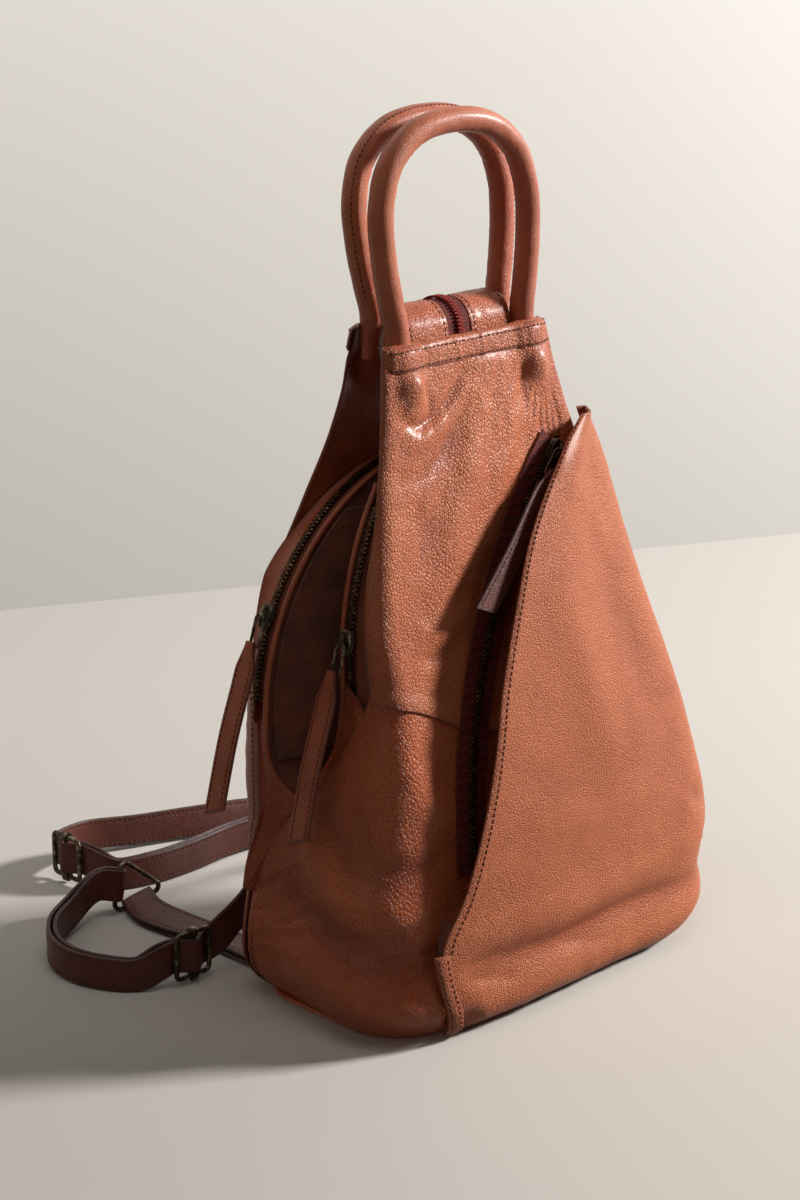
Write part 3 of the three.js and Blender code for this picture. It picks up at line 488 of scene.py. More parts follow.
# The red tape is a rust red darkened as painted shade for the pocket zip, which lies in the pocket's shadow;
# the top zip's tape shares it.
RED_TAPE = cloth("tape_red", srgb(134, 38, 20), srgb(84, 18, 10))
THREAD = cloth("thread", srgb(132, 64, 36), srgb(74, 32, 17), 4000)


def metal(name, bright, dark):
    """Antique metal: dark in the patches, bright where it rubs."""
    n = Nodes(name)
    patch = n.noise(260, 4.0, 0.6)
    pits = n.noise(1800, 3.0, 0.6)
    rubbed = n.ramp(n.math("ADD", patch, n.math("MULTIPLY", n.attribute("rim"), 0.35)), 0.45, 0.8)
    gloss = n.math("ADD", n.ramp(rubbed, 0.0, 1.0, 0.48, 0.34), n.math("MULTIPLY", pits, 0.1))
    n.set(Base_Color=n.mix(rubbed, dark, bright), Metallic=0.95)
    n.set(Roughness=gloss, Normal=n.bump(pits, 0.12, 0.0002))
    return n.material


METAL = metal("antique_metal", srgb(176, 160, 132), srgb(72, 62, 50))
TEETH = metal("zip_teeth", srgb(150, 118, 82), srgb(62, 44, 30))
RED_TEETH = cloth("zip_coil_red", srgb(190, 52, 34), srgb(120, 22, 14), 3000)


# ---------- mesh making ----------
def make(
    name, points, faces, material, body="bag", rim=None, relief=None, smooth_below=50, slot=None, node=None,
):
    """A mesh object that rides on a body and may replace a node. Points are in millimetres."""
    mesh = bpy.data.meshes.new(name)
    mesh.from_pydata((np.asarray(points, float) * MM).tolist(), [], faces)
    shape = bmesh.new()
    shape.from_mesh(mesh)
    bmesh.ops.recalc_face_normals(shape, faces=shape.faces)
    shape.to_mesh(mesh)
    shape.free()
    # The 'relief' values are the height that the leathers paint as highlight on ridges and shade in hollows;
    # 'rim' marks the dark cut edges.
    for key, values in (("rim", rim), ("relief", relief)):
        if values is not None:
            layer = mesh.attributes.new(key, "FLOAT", "POINT")
            layer.data.foreach_set("value", np.asarray(values, np.float32).ravel())
    mesh.shade_smooth()
    mesh.set_sharp_from_angle(angle=math.radians(smooth_below))
    mesh.materials.append(material)
    piece = bpy.data.objects.new(name, mesh)
    bpy.context.scene.collection.objects.link(piece)
    if body:
        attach(piece, body)
    if node:
        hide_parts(node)
    return piece


def loop_faces(rows, columns, closed=False):
    """Faces between rows of points, each row a closed loop, and over both ends unless the rows close too."""
    faces = []
    for i in range(rows if closed else rows - 1):
        k = (i + 1) % rows
        for j in range(columns):
            q = (j + 1) % columns
            faces.append([i * columns + j, i * columns + q, k * columns + q, k * columns + j])
    if not closed:
        faces += [list(range(columns))[::-1], [(rows - 1) * columns + j for j in range(columns)]]
    return faces


def surface_normals(p, facing):
    n = unit(np.cross(np.gradient(p, axis=0), np.gradient(p, axis=1)))
    middle = n[n.shape[0] // 2, n.shape[1] // 2]
    return n if middle @ np.array(facing, float) > 0 else -n


def raised(p, facing, relief):
    return p + surface_normals(p, facing) * np.asarray(relief)[..., None]


def border(m, n):
    """The border of an m by n grid in order, and each border point's neighbour one step inside."""
    ring = [(0, j) for j in range(n)] + [(i, n - 1) for i in range(1, m)]
    ring += [(m - 1, j) for j in range(n - 2, -1, -1)] + [(i, 0) for i in range(m - 2, 0, -1)]
    inner = [(min(max(i, 1), m - 2), min(max(j, 1), n - 2)) for i, j in ring]
    return ring, inner


def slab(name, p, thickness, material, facing, relief=None, detail=None, rim_width=2.5, **options):
    """A sheet with rounded edges. `relief` lifts it, and `detail` lifts it and is stored as its 'relief'
    height, which the leathers paint as highlight on ridges and shade in hollows.
    """
    m, n = p.shape[:2]
    if detail is not None:
        relief = detail + (0 if relief is None else relief)
    if relief is not None:
        p = raised(p, facing, relief)
    normal = surface_normals(p, facing)
    ring, inner = border(m, n)
    rim_points = []
    for (i, j), (a, b) in zip(ring, inner):
        rim_points.append(p[i, j] + unit(p[i, j] - p[a, b]) * thickness * 0.35)
    half = normal * thickness / 2
    points = np.vstack([(p + half).reshape(-1, 3), (p - half).reshape(-1, 3), rim_points])
    size = m * n
    at = np.arange(size).reshape(m, n)
    quads = np.stack([at[:-1, :-1], at[:-1, 1:], at[1:, 1:], at[1:, :-1]], -1).reshape(-1, 4)
    faces = quads.tolist() + (quads + size)[:, ::-1].tolist()
    flat = [i * n + j for i, j in ring]
    count = len(ring)
    for k in range(count):
        q = (k + 1) % count
        faces.append([flat[k], flat[q], 2 * size + q, 2 * size + k])
        faces.append([size + flat[q], size + flat[k], 2 * size + k, 2 * size + q])
    rows = np.linalg.norm(np.diff(p, axis=0), axis=-1)
    columns = np.linalg.norm(np.diff(p, axis=1), axis=-1)
    down = np.vstack([np.zeros((1, n)), np.cumsum(rows, 0)])
    side = np.hstack([np.zeros((m, 1)), np.cumsum(columns, 1)])
    gap = np.minimum(np.minimum(down, down[-1:] - down), np.minimum(side, side[:, -1:] - side))
    rim = np.exp(-gap / rim_width).ravel()
    rim = np.concatenate([rim * 0.5, rim * 0.5, np.ones(count)])
    # Painted highlight and shade: the detail height goes to the 'relief' attribute, mirrored on the inner
    # face.
    shade = np.zeros((m, n)) if detail is None else detail
    shade = np.concatenate([shade.ravel(), -shade.ravel(), np.zeros(count)])
    return make(name, points, faces, material, rim=rim, relief=shade, **options)


def shell(*what, **options):
    """A slab of the bag's outer leather."""
    slab(*what, slot="shell_leather", **options)


def carried(centre, across, normal, section):
    """A section carried along a line. Each row of the section is m points, as (across, normal)."""
    return centre[:, None] + across[:, None] * section[..., :1] + normal[:, None] * section[..., 1:2]


def sweep(name, v, material, **options):
    """A solid through rows of points, each row a closed loop."""
    return make(name, v.reshape(-1, 3), loop_faces(*v.shape[:2]), material, **options)


def round_section(radius, sides):
    a = np.arange(sides) * 2 * math.pi / sides
    return np.stack([radius * np.cos(a), radius * np.sin(a)], -1)


def strap_section(width, thickness, stitch=2.4):
    """Two layers sewn together: crowned faces, a groove at each stitch row, a slit along each edge."""
    w, h = width / 2, thickness / 2
    half = [
        (w - 0.35, 0), (w, 0.3 * h), (w - 0.15, 0.75 * h), (w - 0.8, h), (w - stitch + 0.7, h),
        (w - stitch, h * 0.86), (w - stitch - 0.8, h * 1.02), (0.4 * w, h * 1.06), (0, h * 1.08),
    ]
    top = half + [(-x, y) for x, y in half[::-1][1:]]
    bottom = [(-x, -y) for x, y in top[1:-1]]
    return np.array(top + bottom)


def section_rim(section, width):
    return np.exp(-(width / 2 - np.abs(section[:, 0])) / 0.8)


def beads(template, faces, centre, t, a, n):
    """Copies of a small shape at each point, with axes along, across and normal."""
    v = centre[:, None] + t[:, None] * template[None, :, :1] + a[:, None] * template[None, :, 1:2]
    v = v + n[:, None] * template[None, :, 2:3]
    k = len(template)
    every = [[i * k + q for q in f] for i in range(len(centre)) for f in faces]
    return v.reshape(-1, 3), every


def spindle(length, width, height, sides=6):
    """A stitch: a short round thread that dips into the leather at both ends."""
    points = []
    for x, r in ((-0.5, 0.35), (-0.3, 0.95), (0.3, 0.95), (0.5, 0.35)):
        for k in range(sides):
            a = 2 * math.pi * k / sides
            dip = 0.25 if abs(x) > 0.4 else 0
            points.append((x * length, r * width * math.cos(a), r * height * math.sin(a) - dip))
    return np.array(points), loop_faces(4, sides)


SEWN = {}
STITCH, STITCH_FACES = spindle(2.5, 0.42, 0.36)


def sew(line, normals, body="bag", pitch=3.3, lift=0.12):
    """A row of stitches along a line of points on a surface."""
    line, normals = np.asarray(line, float), np.asarray(normals, float)
    total = lengths(line)[-1]
    count = max(2, int(total / pitch))
    at = (np.arange(count) + 0.5) * total / count
    n = unit(sample(line, at, normals))
    t = unit(sample(line, at, along(line)))
    t = unit(t + 0.1 * unit(np.cross(n, t)))
    c = sample(line, at) + n * lift
    SEWN.setdefault(body, []).append(beads(STITCH, STITCH_FACES, c, t, unit(np.cross(n, t)), n))


def sew_columns(p, normals, columns, start, stop, off):
    """Rows of stitches down a surface, from one row of its points to another, at some of its columns."""
    for column in columns:
        n = normals[start:stop, column]
        sew(p[start:stop, column] + n * off, n)


def join(parts):
    points, faces, base = [], [], 0
    for p, f in parts:
        points.append(p)
        faces += [[base + q for q in face] for face in f]
        base += len(p)
    return np.vstack(points), faces


def box_template(length, width, height, chamfer):
    """A block on the plane n = 0, narrower at its top."""
    h = height / 2
    corners = [(a * length / 2, b * width / 2) for a, b in ((-1, -1), (1, -1), (1, 1), (-1, 1))]
    low = [(x, y, -h) for x, y in corners]
    mid = [(x, y, h - chamfer) for x, y in corners]
    slope = 2 * chamfer * 0.6
    top = [(x * (1 - slope / length), y * (1 - slope / width), h) for x, y in corners]
    return np.array(low + mid + top), loop_faces(3, 4)


def teeth(name, line, normals, material, slot, node, width=5.0, pitch=2.5):
    """Two interlocking rows of zip teeth along a line."""
    template, faces = box_template(1.35, width * 0.58, 1.5, 0.35)
    parts = []
    for row, shift in ((-1, 0.25), (1, 0.75)):
        at = np.arange(shift * pitch, lengths(line)[-1] - 0.5, pitch)
        n = unit(sample(line, at, normals))
        t = unit(sample(line, at, along(line)))
        a = unit(np.cross(n, t))
        parts.append(beads(template, faces, sample(line, at) + row * a * width * 0.2, t, a, n))
    make(name, *join(parts), material, smooth_below=30, slot=slot, node=node)


# ---------- front panel ----------
FOOT_DEPTH = profile([[-2, 3.4], [6, 3.6], [12, 4.0], [19, 6.3], [26, 5.6], [33, 2.2], [40, 0.3], [46, 0]])


def foot_bulges(x, z, top):
    """The round swellings over the ends of the handles, under a hem."""
    depth = FOOT_DEPTH(top - z)
    return sum(depth * np.exp(-((np.abs(x - side * HANDLE_FOOT_X) / 8.6) ** 2.4)) for side in (-1, 1))


def front_relief(p):
    """Folds and wrinkles of the upper front panel, which hangs from the hem."""
    q = p[..., [0, 2]]
    x, z = q[..., 0], q[..., 1]
    edge = ease(FRONT_HALF(z) - np.abs(x), 0, 14)
    r = 1.0 * lumps(p, (34, 34, 46), 3)
    r += 0.5 * lumps(p, (14, 14, 16), 5)
    high = ease(z, 235, 330)
    r += 0.45 * (wrinkles(q, 34, 10, 30, 8) - 0.4) * (0.25 + 0.75 * high) * edge
    r += 0.3 * (wrinkles(q, 46, 6, 16, 15) - 0.4) * (0.35 + 0.65 * high) * edge
    r += 0.16 * (wrinkles(q, 58, 3.4, 9, 17) - 0.4) * (0.4 + 0.6 * high) * edge
    add_folds(r, q, (
        ([[-62, 330], [-50, 323], [-36, 324], [-20, 333], [-6, 346]], 3.4, -2.1),
        ([[-60, 318], [-46, 314], [-30, 320], [-14, 331], [-4, 344]], 4.6, 1.5),
        ([[-70, 300], [-52, 296], [-34, 304], [-16, 318]], 5.0, -1.1),
        ([[8, 345], [-4, 310], [-26, 272], [-44, 236], [-58, 200]], 13.0, 2.4),
        ([[26, 344], [22, 318], [14, 292], [-6, 262], [-22, 238]], 10.0, 1.9),
        ([[-8, 340], [-24, 306], [-44, 270], [-60, 236]], 9.0, -1.5),
        ([[-30, 200], [-22, 222], [-10, 240], [6, 256]], 6.0, -1.3),
        ([[-74, 222], [-58, 214], [-40, 218], [-24, 230]], 6.0, 1.2),
        ([[-78, 204], [-60, 202], [-40, 206]], 4.0, -1.1),
    ))
    for foot in (-1, 1):
        r += 0.9 * fold(q, [[foot * 40, 344], [foot * 36, 332], [foot * 37, 318]], 3.0, -1.2)
    for k in range(5):
        reach = 20 + 6 * k
        line = [[46 + 3 * k, 332], [48 + 4.5 * k - 4, 332 - reach * 0.5], [44 + 6 * k - 6, 330 - reach]]
        r += crease(q, line, 2.6, 1.0)
    return r


def front_upper():
    v, s = grid((0, 1, 130), (-1, 1, 170))
    low = YOKE_SEAM(s) - UPPER_LAP
    z = low + v * (HEM_TOP_FRONT - low)
    p = front_level(z, s, LEATHER / 2)
    lap = 1.25 * (1 - ease(z, YOKE_SEAM(s) - 3, YOKE_SEAM(s) + 7))
    bulge = foot_bulges(p[..., 0], z, HEM_TOP_FRONT)
    hem_ease = 1 - ease(z, HEM_TOP_FRONT - 16, HEM_TOP_FRONT - 8)
    detail = front_relief(p) * hem_ease * ease(z, YOKE_SEAM(s), YOKE_SEAM(s) + 12)
    shell("front_panel_visible", p, LEATHER, PANEL, FRONTWARD, lap + bulge, detail, node="front_panel_upper")


front_upper()


# ---------- lower wrap ----------
def base_curl(z):
    """How far the leather has rolled under at a height near the floor."""
    d = np.clip(BASE_ROLL - z, 0, BASE_ROLL)
    return BASE_ROLL - np.sqrt(np.maximum(BASE_ROLL ** 2 - d ** 2, 0))


def lower_relief(p, u):
    """Soft sags of the lower leather. u runs from the left seam (-2) to the right seam (2)."""
    q = np.stack([u * 120, p[..., 2]], -1)
    z = p[..., 2]
    r = 1.1 * lumps(p, (60, 60, 44), 21)
    r += 0.5 * lumps(p, (22, 22, 14), 22)
    low = 1 - ease(z, 40, 120)
    r += 0.7 * (wrinkles(q, 78, 9, 46, 24) - 0.35) * (0.35 + 0.65 * low)
    add_folds(r, q, (
        ([[-205, 76], [-165, 62], [-122, 54], [-90, 50], [-60, 48]], 9.0, -3.2),
        ([[-205, 40], [-160, 30], [-115, 24], [-80, 22], [-50, 22]], 12.0, 3.6),
        ([[-180, 104], [-150, 88], [-118, 76], [-84, 72]], 10.0, 3.0),
        ([[-130, 66], [-112, 60], [-96, 62], [-80, 70]], 4.0, -1.8),
        ([[-160, 128], [-136, 108], [-108, 98], [-76, 96]], 7.0, -2.2),
        ([[-130, 140], [-118, 118], [-110, 98]], 8.0, -1.6),
        ([[-96, 150], [-80, 128], [-58, 112], [-36, 104]], 8.0, 1.6),
        ([[-20, 30], [20, 34], [70, 30], [110, 26]], 6.0, 1.5),
    ))
    return r


def lower_surface():
    u = np.concatenate([np.linspace(-2, -1, 46)[:-1], np.linspace(-1, 1, 170), np.linspace(1, 2, 46)[1:]])
    v, u = mesh_grid(np.linspace(0, 1, 110), u)
    s, k = np.clip(u, -1, 1), np.clip(np.abs(u) - 1, 0, 1)
    yoke = YOKE_SEAM(s)
    top = np.where(k > 0, np.minimum(WRAP_TOP(k), yoke), yoke) - GAP
    z = 0.6 + v ** 1.15 * (top - 0.6)
    p = wrap_point(z, s, k)
    out = unit(np.cross(np.gradient(p, axis=1), UP))
    out *= np.sign(out[0, 0] @ np.array([-1, 0, 0]))
    p = p - out * base_curl(z)[..., None]
    return p, u, z, top


def lower_wrap():
    p, u, z, top = lower_surface()
    fade = ease(z, 1, 14) * (1 - ease(z, top - 14, top - 3))
    detail = lower_relief(p, u) * fade
    shell("lower_wrap_visible", p, LEATHER, LOWER, FRONTWARD, None, detail, node="lower_wrap")
    sew_columns(p, surface_normals(p, FRONTWARD), (2, -3), 4, -6, LEATHER / 2)


lower_wrap()


# ---------- back panel ----------
def back_panel():
    v, s = grid((0, 1, 150), (-1, 1, 180))
    z = 0.6 + v * (HEM_TOP_BACK - 0.6)
    p = back_level(z, s)
    out = unit(np.cross(np.gradient(p, axis=1), UP))
    out *= np.sign(out[10, 90] @ np.array([0, 1, 0]))
    p = p - out * base_curl(z)[..., None]
    q = p[..., [0, 2]]
    r = 0.9 * lumps(p, (60, 60, 70), 31) + 0.35 * lumps(p, (18, 18, 22), 32)
    r += 0.5 * (wrinkles(q, 84, 12, 60, 33) - 0.35)
    add_folds(r, q, (
        ([[-90, 120], [-40, 104], [20, 108], [80, 122]], 14.0, -2.0),
        ([[-100, 84], [-40, 70], [30, 72], [96, 86]], 14.0, 2.2),
        ([[-60, 300], [-46, 262], [-52, 226]], 11.0, 1.6),
        ([[60, 302], [48, 262], [54, 222]], 11.0, 1.6),
        ([[-80, 40], [0, 30], [84, 42]], 9.0, -1.4),
    ))
    side_seam = ease(np.abs(s), 0.9, 0.985)
    under_hem = ease(z, HEM_TOP_BACK - 18, HEM_TOP_BACK - 8)
    under_strap = ease(z, 245, 262) * (1 - ease(np.abs(q[..., 0]), 38, 46))
    detail = r * ease(z, 1, 14) * (1 - under_hem) * (1 - side_seam) * (1 - under_strap)
    bulge = foot_bulges(p[..., 0], z, HEM_TOP_BACK)
    shell("back_panel_visible", p, LEATHER, BACK, BACKWARD, bulge, detail, node="back_panel")
    sew_columns(p, surface_normals(p, BACKWARD), (3, 176), 3, -8, LEATHER / 2)


back_panel()


# ---------- base ----------
def base():
    """The base leather, rounded up at its edge to meet the panels."""
    underside = ((26, 1.4), (11, 0.9), (8.2, 0.0), (8.2, 0.0), (5.5, 0.3))
    upperside = ((3.6, 1.2), (4.6, 2.6), (12, 2.9), (26, 2.9))
    right_angle = math.pi / 2
    loops = []
    for inset, z in underside + upperside:
        half, front, back = FRONT_HALF(0) - inset, FRONT_Y(0) + inset, BACK_Y(0) - inset
        r = max(BACK_CORNER(0) - inset, 6)
        x, near_y, far_y = half - r, front + r, back - r
        corners = [(x, near_y, -right_angle), (x, far_y, 0), (-x, far_y, right_angle), (-x, near_y, math.pi)]
        turns = [(x, y, q + t) for x, y, q in corners for t in np.linspace(0, right_angle, 9)]
        loops.append([(x + r * math.cos(a), y + r * math.sin(a), z) for x, y, a in turns])
    piece = sweep("base_visible", np.array(loops), LOWER, slot="shell_leather")
    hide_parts("base_panel", "base_board")


base()


# ---------- hems ----------
def hem(name, node, half, depth, top, out):
    """A folded strip over a panel's top edge, raised where the strap edges and handle ends lie under it."""
    x_unit, k = grid((-1, 1, 150), (0, 1, 14))
    down = profile([[0, 11.5], [0.35, 6.4], [0.62, 2.0], [0.78, 0.1], [0.9, -0.7], [1, -0.6]])(k)
    set_back = profile([[0, 0.5], [0.12, 0], [0.6, 0], [0.78, 0.5], [0.9, 1.8], [1, 3.2]])(k)
    z = top - down
    x = x_unit * (half(z) - 2.6)
    turned_end = 3.2 * ease(np.abs(x_unit), 0.93, 1.0) ** 1.5
    y = depth(z) + out * (1.0 - set_back - turned_end)
    p = xyz(x, y, z)
    r = foot_bulges(x, np.minimum(z, top), top)
    for edge in (9.5, 39.5):
        for side in (-1, 1):
            r += 0.55 * np.exp(-(((x - side * edge) / 1.6) ** 2))
    r += 0.35 * lumps(p, (9, 9, 9), 41) + 0.25 * lumps(p, (4, 4, 4), 42)
    flat = 1 - ease(k, 0.6, 0.8)
    r *= 0.4 + 0.6 * flat
    facing = (0, out, 0)
    shell(name, p, 1.2, PANEL if out < 0 else BACK, facing, r, node=node)
    shaped = raised(p, facing, r)
    sew_columns(shaped, surface_normals(shaped, facing), (1, 8), 2, -2, 0.6)


hem("hem_front_visible", "hem_front", FRONT_HALF, FRONT_Y, HEM_TOP_FRONT, -1)
hem("hem_back_visible", "hem_back", BACK_HALF, BACK_Y, HEM_TOP_BACK, 1)


# ---------- pouch walls ----------
WALL_CROWN = 6.8  # how far a wall swells in its middle
BACK_WALL_Z = (7, 299)


def pouch_wall(name, node, zipper, low, high, half):
    towards = -np.sign(zipper["width"])
    z, s = grid((low, high, 90), (-1, 1, 110))
    w = np.minimum(half(z), zip_half(zipper, z) - 1.2)
    fade = np.sin(math.pi * np.minimum(1, (high - z) / (high - low) + 0.1))
    y = zipper["y"] + towards * (0.3 + WALL_CROWN * (1 - s * s) * fade)
    p = xyz(s * w, y, z)
    r = 0.8 * lumps(p, (40, 40, 60), 51 + low % 7) + 0.3 * lumps(p, (12, 12, 20), 55)
    r *= ease(1 - np.abs(s), 0, 0.1)
    slab(name, p, LEATHER, LINING, (0, towards, 0), None, r, slot="lining_leather", node=node)


BACK_WALL_HALF = profile([[4, 112], [100, 116], [125, 118], [150, 129], [330, 131]])
pouch_wall("back_wall_visible", "pouch_wall_back", ZIP_BACK, *BACK_WALL_Z, BACK_WALL_HALF)
pouch_wall("front_wall_visible", "pouch_wall_front", ZIP_FRONT, 130, 349, lambda z: 98 + 0 * z)


def slip_pocket():
    """A flat pocket on the back pouch's wall, inside the open centre pocket."""
    z, s = grid((146, 276, 60), (-1, 1, 90))
    w = np.minimum(BACK_WALL_HALF(z), zip_half(ZIP_BACK, z) - 4)
    low, high = BACK_WALL_Z
    fade = np.sin(math.pi * np.minimum(1, (high - z) / (high - low) + 0.1))
    crown = 1 - s * s
    y = ZIP_BACK["y"] - (3.2 + WALL_CROWN * crown * fade) - 1.2 * ease(z, 240, 276) * crown
    p = xyz(s * w, y, z)
    r = 0.7 * lumps(p, (30, 30, 40), 58) * ease(1 - np.abs(s), 0, 0.12)
    slab("slip_pocket", p, 1.6, LINING, FRONTWARD, None, r, slot="lining_leather")
    n = surface_normals(p, FRONTWARD)[55, 3:-3]
    sew(p[55, 3:-3] + n * 0.8, n)


slip_pocket()

UNDER = [[131, 26, 152], [126, 23, 135], [117, 15, 124], [108, 6, 134], [101, 3, 152], [97.5, 2, 172]]


def pocket_floor():
    """The bottom of the open centre pocket: a trough slung between the two walls."""
    section = spline(UNDER, 5)
    t, j = mesh_grid(np.linspace(-1, 1, 80), np.arange(len(section)))
    q = section[j.astype(int)]
    p = np.stack([t * (q[..., 0] - 2.2), q[..., 1], q[..., 2] + 1.2 - 5 * (1 - t * t)], -1)
    slab("pocket_floor", p, 1.4, LINING, (0, 0, 1), slot="lining_leather")


pocket_floor()


# ---------- piping ----------
def piping_line(side):
    def arc(zipper, angles):
        y = zipper["y"] + 0.8 * np.sign(-zipper["width"])
        return on_zip(zipper, side, np.array(angles, float), y).tolist()

    under = [[side * x, y, z] for x, y, z in UNDER]
    points = [*arc(ZIP_BACK, [84, 66, 48, 30, 14, 0]), *under, *arc(ZIP_FRONT, [-4, 5, 14, 23, 32])]
    return resample(spline(points, 14), 190)


for label, side in (("left", -1), ("right", 1)):
    line = piping_line(side)
    cross = transported(line, np.array([0.0, 1.0, 0.0]))
    other = unit(np.cross(along(line), cross))
    radius = 1.6 * (1 + 0.06 * lumps(line, (6, 6, 6), 61))
    v = carried(line, cross, other, round_section(1, 12)[None] * radius[:, None, None])
    sweep(f"piping_{label}_visible", v, TAB, slot="shell_leather", node=f"piping_{label}")


# ---------- leather between the pouches' zips and the panels ----------
def between(a, b, steps):
    """A surface ruled from line a to line b, and how far across it each point is."""
    t = np.linspace(0, 1, steps)[None, :, None]
    return a[:, None] * (1 - t) + b[:, None] * t, t[..., 0]


def ruled(name, a, b, material, facing, bow, slot="shell_leather"):
    """A thin sheet from line a to line b that bows out by `bow` in the middle."""
    p, t = between(a, b, 12)
    slab(name, p, 1.4, material, facing, bow * np.sin(math.pi * t), slot=slot)


def edge_fold(z):
    """Edge of the front panel, just inside its leather."""
    return front_level(z, np.ones_like(z), LEATHER + 0.4)


for label, side in (("left", -1), ("right", 1)):
    flip = np.array([side, 1, 1])
    angle = np.linspace(ZIP_BACK["start"] - 6, ZIP_BACK["end"], 80)
    tape_edge = on_zip(ZIP_BACK, 1, angle, ZIP_BACK["y"] + ZIP_BACK["width"] - 0.6, -1.4)
    x, z = tape_edge[:, 0], tape_edge[:, 2]
    reach = ease(BACK_HALF(z) - 2 - x, -2, 16)
    y = (BACK_EDGE_Y(z) + 2.5) * (1 - reach) + (BACK_Y(z) - 3) * reach
    panel_edge = xyz(np.minimum(x + 1.2, BACK_HALF(z) - 2.6), y, z)
    ruled(f"back_zip_fold_{label}", tape_edge * flip, panel_edge * flip, BACK, (side, 0, 0.3), -1.2)

    angle = np.linspace(ZIP_FRONT["start"] - 12, 54, 70)
    shut = ease(angle, 28, 36)
    tape_edge = on_zip(ZIP_FRONT, 1, angle, 0.0, -1.4)
    tape_edge[:, 1] = (ZIP_FRONT["y"] + ZIP_FRONT["width"] + 0.6) * (1 - shut) + 0.5 * shut
    x, z = tape_edge[:, 0], tape_edge[:, 2]
    rim_line = edge_fold(z)
    reach = ease(rim_line[:, 0] - x, 0, 12)[:, None]
    inner = xyz(x, FRONT_Y(z) + LEATHER + 1.2, z)
    target = rim_line * (1 - reach) + inner * reach
    ruled(
        f"front_zip_fold_{label}", tape_edge * flip, target * flip,
        LINING, (side, 0, 0.3), -2.4, slot="lining_leather",
    )


def side_gusset(label, side):
    """The side leather between the lower wrap, the back panel and the piping under the centre pocket."""
    k = np.linspace(0, 1, 70)
    top = np.minimum(WRAP_TOP(k), YOKE_SEAM(1.0)) - GAP
    lower = wrap_point(top, np.ones_like(k), k)
    z = np.linspace(64, 180, 60)
    rear = xyz(BACK_HALF(z) - LEATHER / 2, BACK_EDGE_Y(z) + GAP, z)
    outer = resample(np.vstack([lower, rear]), 150)
    full = piping_line(1)
    first = np.argmin(np.linalg.norm(full - on_zip(ZIP_FRONT, 1, -4.0, 1.8), axis=1))
    last = np.argmin(np.linalg.norm(full - on_zip(ZIP_BACK, 1, 2.0, 26.2), axis=1))
    inner = resample(full[last:first + 1][::-1], 150)
    middle = np.array([114.0, 18, 150])
    inner = inner + unit(middle - inner) * 0.6 - np.array([1.6, 0, 0])
    p, t = between(outer, inner, 26)
    bulge = np.sin(math.pi * t)
    shape = 3.4 * bulge * (1 - t) + 0 * p[..., 0]
    p = p * np.array([side, 1, 1])
    detail = 0.7 * lumps(p, (26, 26, 26), 71) * bulge
    shell(f"side_gusset_{label}", p, 1.6, LOWER, (side, 0, 0), shape, detail)


side_gusset("left", -1)
side_gusset("right", 1)


# ---------- side zips ----------
CHAIN_OFF = -1 + TAPE / 2 + 0.8 + 0.3
for pouch, zipper in (("back", ZIP_BACK), ("front", ZIP_FRONT)):
    sign = np.sign(zipper["width"])
    close = zipper["y"] + sign * (PIPING_RADIUS + GAP)
    far = zipper["y"] + zipper["width"]
    middle = (close + far) / 2
    for label, side in (("left", -1), ("right", 1)):
        angle, across = grid((zipper["start"], zipper["end"], 90), (0, 1, 9))
        p = on_zip(zipper, side, angle, close + across * (far - close), -1.0)
        groove = -0.3 * np.exp(-(((across - 0.5) / 0.16) ** 2))
        node = f"zip_tape_{pouch}_{label}"
        slab(f"tape_{pouch}_{label}", p, 0.7, SIDE_TAPE, (side, 0, 0.4), groove, slot="zip_tape", node=node)
        angles = np.linspace(zipper["start"] + 0.3, zipper["end"] - 0.3, 120)
        line = on_zip(zipper, side, angles, middle, CHAIN_OFF)
        normals = unit(line - np.array([side * zipper["x"], middle, zipper["z"]]))
        teeth(f"teeth_{pouch}_{label}", line, normals, TEETH, "metal", f"zip_chain_{pouch}_{label}")


# ---------- pocket ----------
def pocket_surface(rows, columns):
    z_list = np.linspace(4, 312, rows)
    p = []
    for z in z_list:
        left, right, y = POCKET_LEFT(z), POCKET_RIGHT(z), FRONT_Y(z)
        r, w, swell = FRONT_CORNER(z), right - left, POCKET_SWELL(z)
        roll = POCKET_ROLL(z)
        points = [
            [left, y - 1.5 - POCKET_LIFT(z), z],
            [left + 0.3 * w, y - 1.5 - max(swell, 0.93 * POCKET_LIFT(z)), z],
            [left + 0.62 * w, y - 1.5 - swell * 0.9, z],
            [max(right - 0.5 * r - 3, left + 0.8 * w), y - 1.5 - swell * 0.3, z],
            [right, y + 0.4 * r * roll, z],
            [max(right - 4, FRONT_HALF(z) + 3), y + (r + 1) * roll, z],
        ]
        p.append(resample(spline(points, 16), columns))
    return np.array(p)


